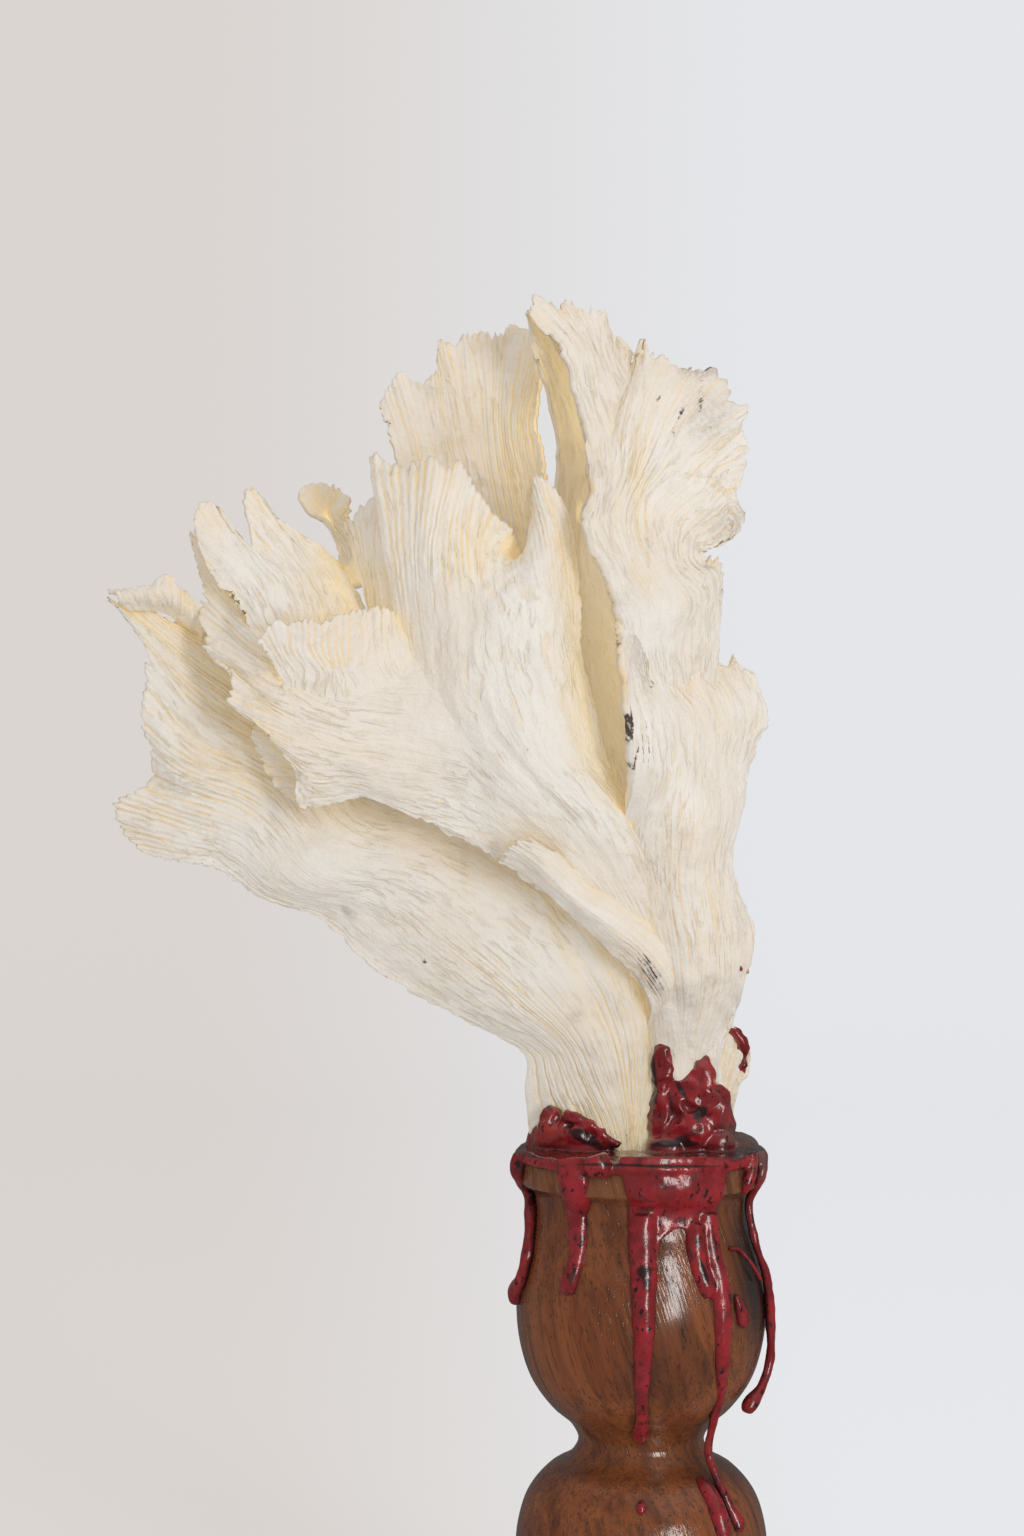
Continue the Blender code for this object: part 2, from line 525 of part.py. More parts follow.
def run_of_wax(name, points, group, finish=None):
    """A tube that runs down the stand, half sunk where it is wide, before the wood is cut clear."""
    laid = []
    for x, z, radius, *hanging in points:
        height = min(1.7 * radius, 1.4 + 0.35 * radius)
        spot = along_sight((x, hanging[0], z)) if hanging else on_stand(x, z, height - radius)
        laid.append((*spot, radius))
    places = np.linspace(0, 1, len(points))
    line = smooth(np.linspace(0, 1, len(points)), np.array(laid), places)
    curve = bpy.data.curves.new(name, "CURVE")
    curve.dimensions = "3D"
    curve.bevel_depth = MM
    curve.bevel_resolution = (RUN_SIDES - 4) // 2
    curve.use_fill_caps = True
    spline = curve.splines.new("POLY")
    spline.points.add(len(line) - 1)
    for point, (x, y, z, radius) in zip(spline.points, line):
        point.co = (x * MM, y * MM, z * MM, 1)
        point.radius = radius
    tube = bpy.data.objects.new(name, curve)
    group.objects.link(tube)
    bpy.context.view_layer.update()
    evaluated = tube.evaluated_get(bpy.context.evaluated_depsgraph_get())
    mesh = bpy.data.meshes.new_from_object(evaluated)
    work = bmesh.new()
    work.from_mesh(mesh)
    bmesh.ops.remove_doubles(work, verts=work.verts, dist=0.00001)
    bmesh.ops.recalc_face_normals(work, faces=work.faces)
    work.to_mesh(mesh)
    work.free()
    bpy.data.objects.remove(tube)
    return place(name, mesh, group, finish)


def mound(name, bumps, low, high, cells, group):
    """A lump of wax: a box whose top rises with the bumps."""
    columns, lines = cells
    work = bmesh.new()
    bmesh.ops.create_grid(work, x_segments=columns, y_segments=lines, size=0.5)
    for vertex in work.verts:
        x = low[0] + (vertex.co.x + 0.5) * (high[0] - low[0])
        y = low[1] + (vertex.co.y + 0.5) * (high[1] - low[1])
        rise = max(h * np.exp(-((x - cx) / sx) ** 4 - ((y - cy) / sy) ** 4)
                   for cx, cy, sx, sy, h in bumps)
        vertex.co = (x * MM, y * MM, (WAX_TOP - MOUND_FOOT[0] + rise) * MM)
    floor = bmesh.ops.extrude_face_region(work, geom=work.faces[:])
    for vertex in [item for item in floor["geom"] if isinstance(item, bmesh.types.BMVert)]:
        vertex.co.z = (WAX_TOP - MOUND_FOOT[1]) * MM
    bmesh.ops.recalc_face_normals(work, faces=work.faces)
    mesh = bpy.data.meshes.new(name)
    work.to_mesh(mesh)
    work.free()
    return place(name, mesh, group)


def apron(name, cells, group):
    """The sheet of wax that hangs over the band."""
    columns, lines = cells
    work = bmesh.new()
    bmesh.ops.create_grid(work, x_segments=columns, y_segments=lines, size=0.5)
    rows = [[on_stand(x, z, APRON_WALL / 2) for x, z in row] for row in APRON]
    grid = loft(rows, np.linspace(0, 1, columns + 1), np.linspace(0, 1, lines + 1))
    for vertex in work.verts:
        column = round((vertex.co.x + 0.5) * columns)
        line = round((vertex.co.y + 0.5) * lines)
        vertex.co = grid[line, column] * MM
    mesh = bpy.data.meshes.new(name)
    work.to_mesh(mesh)
    work.free()
    piece = place(name, mesh, group)
    wall = piece.modifiers.new("wall", "SOLIDIFY")
    wall.thickness = APRON_WALL * MM
    wall.offset = 0
    settle(piece)
    return piece


def make_wax(group, cutters, stand, clear_coral):
    """The poured cap with its runs and mounds in one piece, and the loose drops."""
    red = material("red_wax", (0.32, 0.03, 0.035), 0.3)
    lip = WAX_RADIUS
    cap_profile = [(0, WAX_TOP), (lip - 1.6, WAX_TOP), (lip, WAX_TOP - 1.6), (lip, WAX_TOP - WAX_LIP),
                   (lip - 3, WAX_TOP - WAX_LIP), (0, WAX_TOP - WAX_LIP)]
    wax = turned("wax", cap_profile, group, red)
    settle(wax)
    adders = [run_of_wax("run_" + name, points, cutters) for name, points in RUNS.items()]
    adders.append(apron("apron", (8, 5), cutters))
    adders.append(mound("mound_right", RIGHT_MOUND, (1, -13), (32, 8), (10, 5), cutters))
    adders.append(mound("mound_left", LEFT_MOUND, (-35, -14), (-5, 6), (8, 4), cutters))
    for adder in adders:
        cut(wax, hide(adder), "UNION")
    clear_stand = swollen(stand, cutters)
    cut(wax, clear_stand)
    for name in SET_IN_WAX:
        cut(wax, clear_coral[name])
    settle(wax)
    clear_wax = swollen(wax, cutters)
    for name, points in DROPS.items():
        drop = run_of_wax(name, points, group, red)
        cut(drop, clear_stand)
        cut(drop, clear_wax)
        settle(drop)


# ---- the coral -----------------------------------------------------------------------
TRUNK_RINGS = [(184, 16.5, 6, 11.5, 10), (205, 16, 6, 10.5, 9.5), (220, 15, 5, 9.5, 9),
               (234, 14.5, 3, 9.5, 8.5), (246, 14.5, 1, 8.5, 7.5), (256, 15, 0, 6, 6),
               (260, 15, 0, 2.5, 2.5)]
TRUNK_SIDES = 14
TRUNK_FOLDS = 7
TRUNK_FOLD_DEPTH = 0.07  # share of the radius


def make_trunk(group, finish):
    """The right stem: a folded column, given by rings of z, centre x, y and radii."""
    work = bmesh.new()
    bmesh.ops.create_cone(work, cap_ends=True, segments=TRUNK_SIDES, radius1=1, radius2=1, depth=1)
    uprights = [edge for edge in work.edges if abs(edge.verts[0].co.z - edge.verts[1].co.z) > 0.5]
    bmesh.ops.subdivide_edges(work, edges=uprights, cuts=len(TRUNK_RINGS) - 2, use_grid_fill=False)
    for vertex in work.verts:
        level = (vertex.co.z + 0.5) * (len(TRUNK_RINGS) - 1)
        z, x, y, wide, deep = TRUNK_RINGS[round(level)]
        angle = np.arctan2(vertex.co.y, vertex.co.x)
        fold = 1 + TRUNK_FOLD_DEPTH * cos(TRUNK_FOLDS * angle)
        vertex.co = ((x + wide * fold * cos(angle)) * MM, (y + deep * fold * sin(angle)) * MM, z * MM)
    mesh = bpy.data.meshes.new("trunk")
    bmesh.ops.recalc_face_normals(work, faces=work.faces)
    work.to_mesh(mesh)
    work.free()
    return place("trunk", mesh, group, finish)


def make_floor_cutter(cutters):
    """Everything below the flat cut across the stems."""
    work = bmesh.new()
    bmesh.ops.create_cube(work, size=1)
    for vertex in work.verts:
        vertex.co = (vertex.co.x * 0.3, vertex.co.y * 0.3, (vertex.co.z - 0.5) * 0.1 + CORAL_FLOOR * MM)
    mesh = bpy.data.meshes.new("floor_cut")
    work.to_mesh(mesh)
    work.free()
    return hide(place("floor_cut", mesh, cutters))


def make_coral(group, cutters):
    """The stem and its plates. Returns swollen copies, which clear what is built next."""
    limestone = material("coral_limestone", (0.86, 0.81, 0.7), 0.75)
    floor = make_floor_cutter(cutters)
    trunk = make_trunk(group, limestone)
    cut(trunk, floor)
    settle(trunk)
    clear = {"trunk": swollen(trunk, cutters)}
    for name, spec in PLATES.items():
        frond = plate(name, spec, group, limestone.copy())
        if min(point[2] for row in spec["rows"] for point in row) < CORAL_FLOOR:
            cut(frond, floor)
        for neighbour in spec["cut_by"]:
            cut(frond, clear[neighbour])
        settle(frond)
        clear[name] = swollen(frond, cutters)
    return clear


def main():
    for leftover in list(bpy.data.objects):
        bpy.data.objects.remove(leftover)
    group = collection("lettuce_coral")
    cutters = collection("cutters")
    stand = make_stand(group)
    clear_coral = make_coral(group, cutters)
    make_wax(group, cutters, stand, clear_coral)


main()
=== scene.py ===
from math import cos, pi, radians, sin, sqrt

import bpy
import numpy as np
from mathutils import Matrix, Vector, noise


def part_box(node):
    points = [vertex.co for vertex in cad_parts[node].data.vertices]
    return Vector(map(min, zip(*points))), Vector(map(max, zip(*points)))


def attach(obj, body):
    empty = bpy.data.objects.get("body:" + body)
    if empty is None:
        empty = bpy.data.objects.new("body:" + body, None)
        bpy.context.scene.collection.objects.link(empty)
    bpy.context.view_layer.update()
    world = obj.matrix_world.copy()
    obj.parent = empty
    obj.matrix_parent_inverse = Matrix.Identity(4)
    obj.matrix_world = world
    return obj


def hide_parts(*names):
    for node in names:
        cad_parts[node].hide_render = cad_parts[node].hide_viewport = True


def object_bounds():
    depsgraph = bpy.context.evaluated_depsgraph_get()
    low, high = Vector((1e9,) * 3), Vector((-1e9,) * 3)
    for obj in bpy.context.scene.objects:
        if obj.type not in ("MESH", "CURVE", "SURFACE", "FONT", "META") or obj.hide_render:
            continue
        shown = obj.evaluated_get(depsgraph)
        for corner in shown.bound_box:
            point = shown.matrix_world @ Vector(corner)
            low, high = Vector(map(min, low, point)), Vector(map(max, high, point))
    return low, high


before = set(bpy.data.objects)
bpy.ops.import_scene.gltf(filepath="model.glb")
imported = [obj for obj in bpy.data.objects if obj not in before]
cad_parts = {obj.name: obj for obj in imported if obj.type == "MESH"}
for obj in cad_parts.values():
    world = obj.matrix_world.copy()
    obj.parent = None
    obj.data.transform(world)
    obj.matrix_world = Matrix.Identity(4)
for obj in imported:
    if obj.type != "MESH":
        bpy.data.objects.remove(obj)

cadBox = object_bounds()
standLow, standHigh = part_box("stand")
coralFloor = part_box("trunk")[0].z

mm = 0.001
bpy.ops.object.select_all(action="DESELECT")

# The bunch is laid out as in the solids, in millimetres: x and z are where a point shows from
# the front on the plane through the stand's axis, and y is its depth there. Higher up the
# depths open out.
layout = {
    "eyeX": -41.3, "eyeAway": 956.0, "eyeZ": 311.3, "openFrom": 215.0, "openTo": 330.0, "opening": 1.9,
}


def evenly(steps):
    return np.linspace(0, 1, steps + 1)


def easeIn(value, low, high):
    share = np.clip((value - low) / (high - low), 0, 1)
    return share * share * (3 - 2 * share)


def alongSight(point):
    x, y, z = point
    y *= 1 + (layout["opening"] - 1) * easeIn(z, layout["openFrom"], layout["openTo"])
    scale = (layout["eyeAway"] + y) / layout["eyeAway"]
    return layout["eyeX"] + (x - layout["eyeX"]) * scale, y, layout["eyeZ"] + (z - layout["eyeZ"]) * scale


# where true points show from the front: x and z on the plane through the axis
def shownFrom(points):
    scale = layout["eyeAway"] / (layout["eyeAway"] + points[..., 1])
    x = layout["eyeX"] + (points[..., 0] - layout["eyeX"]) * scale
    z = layout["eyeZ"] + (points[..., 2] - layout["eyeZ"]) * scale
    return x, z


def blendCells(grid, i, j, s, t):
    low = grid[j, i] * (1 - s) + grid[j, i + 1] * s
    high = grid[j + 1, i] * (1 - s) + grid[j + 1, i + 1] * s
    return low * (1 - t) + high * t


# a smooth random field from -1 to 1 with so many swings across and along
def drift(u, v, swings, seed):
    wide, tall = swings
    knots = np.random.default_rng(seed).uniform(-1, 1, (tall + 3, wide + 3))
    a, b = np.clip(u, 0, 1) * wide, np.clip(v, 0, 1) * tall
    i, j = a.astype(int), b.astype(int)
    return blendCells(knots, i, j, easeIn(a - i, 0, 1), easeIn(b - j, 0, 1))


# the same in space, for swings of about the given size
def cloud(points, size, seed):
    knots = np.random.default_rng(seed).uniform(-1, 1, (32, 32, 32))
    places = points / size
    cell = np.floor(places).astype(int)
    x, y, z = np.moveaxis(easeIn(places - cell, 0, 1), -1, 0)
    i, j, k = np.moveaxis(cell % 31, -1, 0)

    def level(up):
        low = knots[i, j, k + up] * (1 - x) + knots[i + 1, j, k + up] * x
        high = knots[i, j + 1, k + up] * (1 - x) + knots[i + 1, j + 1, k + up] * x
        return low * (1 - y) + high * y

    return level(0) * (1 - z) + level(1) * z


def smoothCurve(knots, values, places):
    slopes = np.gradient(values, knots, axis=0)
    index = np.clip(np.searchsorted(knots, places, side="right") - 1, 0, len(knots) - 2)
    step = (knots[index + 1] - knots[index])[:, None]
    u = (places - knots[index])[:, None] / step
    low, high = values[index], values[index + 1]
    bend = (2 * u**3 - 3 * u**2 + 1) * low + (3 * u**2 - 2 * u**3) * high
    return bend + step * ((u**3 - 2 * u**2 + u) * slopes[index] + (u**3 - u**2) * slopes[index + 1])


def runningLength(points):
    length = np.concatenate([[0], np.cumsum(np.linalg.norm(np.diff(points, axis=0), axis=1))])
    return length / length[-1]


# the smooth sheet through lines of points, as a grid
def loftLines(lines, along):
    lines = np.array(lines)
    middle = runningLength(lines.mean(axis=1))
    return smoothCurve(middle, lines.reshape(len(lines), -1), along).reshape(len(along), -1, 3)


# the same through a frond's rows, as a grid of true points
def loftRows(rows, across, along):
    lines = []
    for row in rows:
        points = np.array([alongSight(point) for point in row], dtype=float)
        knots = runningLength(points) if len(points) > 4 else evenly(len(points) - 1)
        lines.append(smoothCurve(knots, points, across))
    return loftLines(lines, along)


# reads a finely laid grid anywhere between its points
def readGrid(grid, u, v):
    tall, wide = grid.shape[:2]
    a, b = np.clip(u, 0, 1) * (wide - 1), np.clip(v, 0, 1) * (tall - 1)
    i, j = np.minimum(a.astype(int), wide - 2), np.minimum(b.astype(int), tall - 2)
    return blendCells(grid, i, j, (a - i)[..., None], (b - j)[..., None])


def gridNormals(grid):
    normals = np.cross(np.gradient(grid, axis=1), np.gradient(grid, axis=0))
    return normals / np.maximum(np.linalg.norm(normals, axis=2, keepdims=True), 1e-9)


def plugIn(tree, node, inputs):
    for key, value in inputs.items():
        if isinstance(value, bpy.types.NodeSocket):
            tree.links.new(value, node.inputs[key])
        else:
            node.inputs[key].default_value = value


def addNode(tree, kind, inputs, **settings):
    node = tree.nodes.new("ShaderNode" + kind)
    for key, value in settings.items():
        setattr(node, key, value)
    plugIn(tree, node, inputs)
    return node


def mixColours(tree, share, first, second):
    return addNode(tree, "Mix", {0: share, 6: first, 7: second}, data_type="RGBA").outputs[2]


# lays colours over the first one, each by its share
def paintOver(tree, tints, first, layers):
    colour = tints[first]
    for name, share in layers:
        colour = mixColours(tree, share, colour, tints[name])
    return colour


def spread(tree, value, low, high, toLow=0.0, toHigh=1.0):
    return addNode(tree, "MapRange", {
        "Value": value, "From Min": low, "From Max": high, "To Min": toLow, "To Max": toHigh},
        interpolation_type="SMOOTHSTEP").outputs[0]


def reckon(tree, operation, first, second):
    return addNode(tree, "Math", {0: first, 1: second}, operation=operation).outputs[0]


def times(tree, first, second):
    return reckon(tree, "MULTIPLY", first, second)


def plus(tree, first, second):
    return reckon(tree, "ADD", first, second)


def freckle(tree, vector, scale, detail=3.0, roughness=0.5, twist=0.0):
    return addNode(tree, "TexNoise", {
        "Vector": vector, "Scale": scale, "Detail": detail, "Roughness": roughness,
        "Distortion": twist}).outputs["Fac"]


def stretch(tree, vector, scale, turn=(0, 0, 0)):
    return addNode(tree, "Mapping", {"Vector": vector, "Scale": scale, "Rotation": turn}).outputs[0]


def heightOf(tree, vector):
    return addNode(tree, "SeparateXYZ", {0: vector}).outputs[2]


def readField(tree, name):
    return addNode(tree, "Attribute", {}, attribute_name=name).outputs["Fac"]


# how open a place is, down to nothing in the narrowest gaps
def openness(tree, reach):
    return addNode(tree, "AmbientOcclusion", {"Distance": reach}, samples=6).outputs["AO"]


def roughen(tree, height, strength, distance):
    return addNode(tree, "Bump", {"Strength": strength, "Distance": distance, "Height": height}).outputs[0]


def newMaterial(name):
    made = bpy.data.materials.new(name)
    made.use_nodes = True
    tree = made.node_tree
    return made, tree, tree.nodes["Principled BSDF"], addNode(tree, "TexCoord", {}).outputs["Object"]


limestone = {
    # the groove tint is a painted glow, standing in for light that passes through and bounces in the grooves
    "crest": (0.82, 0.75, 0.67, 1), "chalk": (0.85, 0.81, 0.76, 1), "groove": (0.88, 0.70, 0.46, 1),
    # the golden tint for narrow places is a painted glow
    "deep": (1.0, 0.84, 0.53, 1), "ochreAndGlow": (0.92, 0.70, 0.38, 1), "soot": (0.05, 0.036, 0.026, 1),
    # the glow colour is emitted by the coral, a painted glow
    "smudge": (0.30, 0.25, 0.22, 1), "through": (1, 0.8, 0.4, 1), "reach": 0.034, "grain": 0.0006,
}


def makeLimestone():
    made, tree, shader, place = newMaterial("coral_limestone")
    groove, ochreAndGlow, smudge, dirt = [readField(tree, name) for name in ("groove", "ochreAndGlow", "smudge", "dirt")]
    threads = addNode(tree, "CombineXYZ", {
        0: readField(tree, "across"), 1: readField(tree, "lengthwise")}).outputs[0]

    def strands(across, along, *look):
        return freckle(tree, stretch(tree, threads, (across, along, 1)), 1, *look)

    streak = spread(tree, strands(0.5, 0.06, 3), 0.4, 0.64, 0.15, 1.0)
    # fine strokes along the growth, in patches, which also take the grooves' painted glow
    stroke = times(tree, spread(tree, strands(0.6, 0.1, 4, 0.55, 0.6), 0.5, 0.68),
                   spread(tree, freckle(tree, place, 45, 2), 0.38, 0.6, 0.15, 1))
    lined = plus(tree, times(tree, spread(tree, groove, 0.02, 0.35), 0.7), 0.14)
    # narrow places get a painted golden glow, standing in for light that passes through and bounces in them,
    # but a mark below zero keeps them white
    room = openness(tree, limestone["reach"])
    kept = plus(tree, times(tree, reckon(tree, "MINIMUM", ochreAndGlow, 0), 6), 1)
    broken = spread(tree, freckle(tree, place, 620, 4, 0.6), 0.34, 0.62, 0.3, 1.0)
    colour = paintOver(tree, limestone, "crest", [
        ("chalk", spread(tree, freckle(tree, place, 30, 4), 0.36, 0.64)),
        # painted light: the golden tint of the grooves and strokes stands in for light passing through and
        # bouncing in them
        ("groove", times(tree, spread(tree, groove, 0.02, 0.5), streak)),
        ("groove", times(tree, stroke, 0.45)),
        # the golden marks are partly the coral's own tint, partly painted glow in shaded places
        ("ochreAndGlow", times(tree, ochreAndGlow, lined)),
        ("deep", times(tree, spread(tree, room, 0.2, 0.85, 0.9, 0.0), kept)),
        ("smudge", times(tree, smudge, broken)),
        ("soot", spread(tree, times(tree, dirt, broken), 0.18, 0.6, 0, 0.95)),
    ])
    relief = plus(tree, times(tree, freckle(tree, place, 1100, 3, 0.65), 0.6),
                  times(tree, freckle(tree, place, 330, 4, 0.6), 1.5))
    threaded = times(tree, strands(1.3, 0.11, 4, 0.6, 0.3), 0.8)
    relief = plus(tree, relief, reckon(tree, "SUBTRACT", threaded, stroke))
    # painted glow: the coral emits, standing in for the light that comes through the thin walls into
    # sheltered places, and more on the strongest golden marks
    through = times(tree, plus(tree, times(tree, ochreAndGlow, 0.5), 0.06), spread(tree, room, 0.1, 0.7, 1, 0))
    through = plus(tree, through, spread(tree, ochreAndGlow, 1, 1.8, 0, 0.2))
    plugIn(tree, shader, {
        "Base Color": colour, "Roughness": 0.7, "Specular IOR Level": 0.3,
        "Normal": roughen(tree, relief, 0.7, limestone["grain"]),
        "Emission Color": limestone["through"], "Emission Strength": through})
    return made


hardwood = {
    "light": (0.25, 0.078, 0.026, 1), "mid": (0.16, 0.042, 0.014, 1), "dark": (0.040, 0.012, 0.006, 1),
    "pore": (0.016, 0.006, 0.003, 1), "bare": (0.20, 0.080, 0.032, 1), "smoke": (0.02, 0.013, 0.011, 1),
    "smokeAt": (0.0365, -0.014, 0.0915), "bareBelow": (0.0092, 0.0082),
}


def makeHardwood():
    made, tree, shader, place = newMaterial("turned_hardwood")
    leaning = stretch(tree, place, (1, 1, 1), (0, radians(17), 0))

    def grain(across, along, *look):
        return freckle(tree, stretch(tree, leaning, (across, across, along)), 1, *look)

    wide, fine = grain(44, 6, 3, 0.55, 0.9), grain(330, 13, 4, 0.6, 0.3)
    finest, pores = grain(900, 30, 3, 0.6, 0.2), grain(1700, 90, 2, 0.5)
    # the band under the wax is bare and coarse
    onBand = spread(tree, heightOf(tree, place), *[standHigh.z - drop for drop in hardwood["bareBelow"]])
    # smoked on the right of the upper bulb
    away = addNode(tree, "VectorMath", {0: stretch(tree, place, (1, 1, 0.6)), 1: hardwood["smokeAt"]},
                   operation="DISTANCE").outputs["Value"]
    smoked = times(tree, spread(tree, away, 0.006, 0.022, 1, 0), spread(tree, wide, 0.3, 0.55, 0.6, 1))
    colour = paintOver(tree, hardwood, "mid", [
        ("light", spread(tree, wide, 0.36, 0.64)),
        ("dark", spread(tree, fine, 0.44, 0.72, 0, 0.5)),
        ("dark", spread(tree, finest, 0.45, 0.75, 0, 0.45)),
        ("dark", spread(tree, grain(30, 4.5, 2, 0.5, 1.8), 0.52, 0.7, 0, 0.5)),
        ("pore", spread(tree, pores, 0.58, 0.7, 0, 0.6)),
        # painted shade: the wood is darker where it is closed in, as under the wax
        ("dark", spread(tree, openness(tree, 0.03), 0.3, 0.85, 0.75, 0)),
        ("bare", times(tree, onBand, spread(tree, fine, 0.35, 0.62, 0.9, 0.1))),
        ("smoke", smoked),
    ])
    pitted = times(tree, spread(tree, pores, 0.6, 0.72), 0.6)
    relief = reckon(tree, "SUBTRACT", plus(tree, fine, finest), pitted)
    normal = roughen(tree, relief, 0.6, 0.0002)
    plugIn(tree, shader, {
        "Base Color": colour, "Roughness": spread(tree, fine, 0.3, 0.7, 0.16, 0.28),
        "Specular IOR Level": 0.5, "Coat Weight": 0.9, "Coat Roughness": 0.07,
        "Normal": normal, "Coat Normal": normal})
    return made


redWax = {
    "body": (0.185, 0.007, 0.010, 1), "bright": (0.31, 0.012, 0.020, 1), "brown": (0.06, 0.010, 0.007, 1),
    "orange": (0.32, 0.030, 0.014, 1), "soot": (0.010, 0.006, 0.008, 1), "thin": (0.13, 0.075, 0.07, 1),
}


def makeRedWax():
    made, tree, shader, place = newMaterial("poured_red_wax")
    worn = freckle(tree, place, 240, 4, 0.6, 0.6)
    # browner on the cap's top, where it faces up
    facing = heightOf(tree, addNode(tree, "NewGeometry", {}).outputs["Normal"])
    onTop = times(tree, spread(tree, facing, 0.5, 0.95),
                  spread(tree, heightOf(tree, place), 0.1915, 0.193, 0.75, 0))
    # soot lies in specks and on the marks, and painted shade darkens the narrowest gaps
    tall = stretch(tree, place, (1, 1, 0.55))
    specks = times(tree, spread(tree, freckle(tree, tall, 620, 2, 0.5), 0.60, 0.655),
                   spread(tree, freckle(tree, place, 70, 3, 0.5, 0.6), 0.36, 0.52))
    gapShade = spread(tree, openness(tree, 0.0035), 0.45, 0.9, 0.95, 0)
    ragged = spread(tree, plus(tree, readField(tree, "dirt"), times(tree, worn, 0.5)), 0.55, 0.95)
    dark = reckon(tree, "MAXIMUM", reckon(tree, "MAXIMUM", specks, gapShade), ragged)
    colour = paintOver(tree, redWax, "body", [
        ("bright", spread(tree, freckle(tree, place, 110, 4, 0.6), 0.38, 0.62)),
        ("brown", spread(tree, worn, 0.55, 0.70, 0, 0.75)),
        ("brown", onTop),
        ("orange", times(tree, readField(tree, "orange"), spread(tree, worn, 0.35, 0.6, 1, 0.3))),
        ("thin", readField(tree, "thin")),
        # soot together with painted shade in the narrowest gaps
        ("soot", times(tree, dark, 0.92)),
    ])
    relief = plus(tree, times(tree, freckle(tree, place, 1500, 3), 0.5), freckle(tree, place, 260, 4))
    normal = roughen(tree, relief, 0.4, 0.0003)
    plugIn(tree, shader, {
        "Base Color": colour, "Roughness": spread(tree, worn, 0.3, 0.7, 0.2, 0.36),
        "Specular IOR Level": 0.6, "Coat Weight": 0.85, "Coat Roughness": 0.1,
        "Normal": normal, "Coat Normal": normal})
    return made


def pickOnly(*pieces):
    bpy.ops.object.select_all(action="DESELECT")
    for piece in pieces:
        piece.select_set(True)
    bpy.context.view_layer.objects.active = pieces[0]


def applyAll(piece):
    pickOnly(piece)
    for modifier in list(piece.modifiers):
        bpy.ops.object.modifier_apply(modifier=modifier.name)


# a line through (x, y, z), or a tube where a fourth number gives its radius, in millimetres
def drawLine(name, points):
    bpy.ops.curve.primitive_nurbs_path_add()
    line = bpy.context.object
    line.name = name
    line.data.splines.clear()
    line.data.dimensions = "3D"
    spline = line.data.splines.new("POLY")
    spline.points.add(len(points) - 1)
    for point, (x, y, z, *radius) in zip(spline.points, points):
        point.co = (x * mm, y * mm, z * mm, 1)
        if radius:
            point.radius = radius[0]
            line.data.bevel_depth = mm
            line.data.bevel_resolution = 6
            line.data.use_fill_caps = True
    pickOnly(line)
    bpy.ops.object.convert(target="MESH")
    return bpy.context.object


def readPoints(mesh, kind="co"):
    points = np.empty(len(mesh.vertices) * 3, np.float32)
    mesh.vertices.foreach_get(kind, points)
    return points.reshape(-1, 3)


def writePoints(mesh, points):
    mesh.vertices.foreach_set("co", np.asarray(points, dtype=np.float32).ravel())


def addField(mesh, name, values):
    field = mesh.attributes.new(name=name, type="FLOAT", domain="POINT")
    field.data.foreach_set("value", np.asarray(values, dtype=np.float32).ravel())


# a sheet through a grid of points in millimetres, still to be thickened to its wall
def layGrid(name, grid, wall):
    tall, wide = grid.shape[:2]
    bpy.ops.mesh.primitive_grid_add(x_subdivisions=wide - 1, y_subdivisions=tall - 1, size=1)
    piece = bpy.context.object
    piece.name = piece.data.name = name
    writePoints(piece.data, grid * mm)
    solid = piece.modifiers.new("wall", "SOLIDIFY")
    solid.thickness = wall * mm
    solid.offset = 0
    return piece


# centreFrond stands for the node centre_frond
def nodeOf(name):
    return "".join("_" + letter.lower() if letter.isupper() else letter for letter in name)


def finishPiece(piece, node, material):
    piece.data.shade_smooth()
    piece.data.materials.clear()
    piece.data.materials.append(material)
    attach(piece, "root")
    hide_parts(node)


# marks are (x, z, half width, half height, turn, strength), as they show from the front
def stampMarks(marks, x, z):
    total = np.zeros_like(x)
    for cx, cz, rx, rz, turn, strength in marks:
        a = radians(turn)
        dx, dz = x - cx, z - cz
        s = (dx * cos(a) + dz * sin(a)) / rx
        t = (-dx * sin(a) + dz * cos(a)) / rz
        total += strength * np.exp(-(s * s + t * t) ** 1.4)
    return total


# A frond is a grid, with a column of points in each groove and three over the ridge beside it.
growth = {
    "columns": (0.0, 0.26, 0.5, 0.74), "crests": (0.0, 0.7, 1.0, 0.7), "ridgeWidth": 2.1,
    "sheetWide": 640, "sheetTall": 320, "tooth": 2.4, "tear": 9, "tornIn": 1.6, "pitTall": 0.12,
    "nick": 0.9, "chip": 1.7, "breakOff": 2.6, "scaleRows": 9, "rimShare": 0.5, "backOchreAndGlow": 0.3,
}
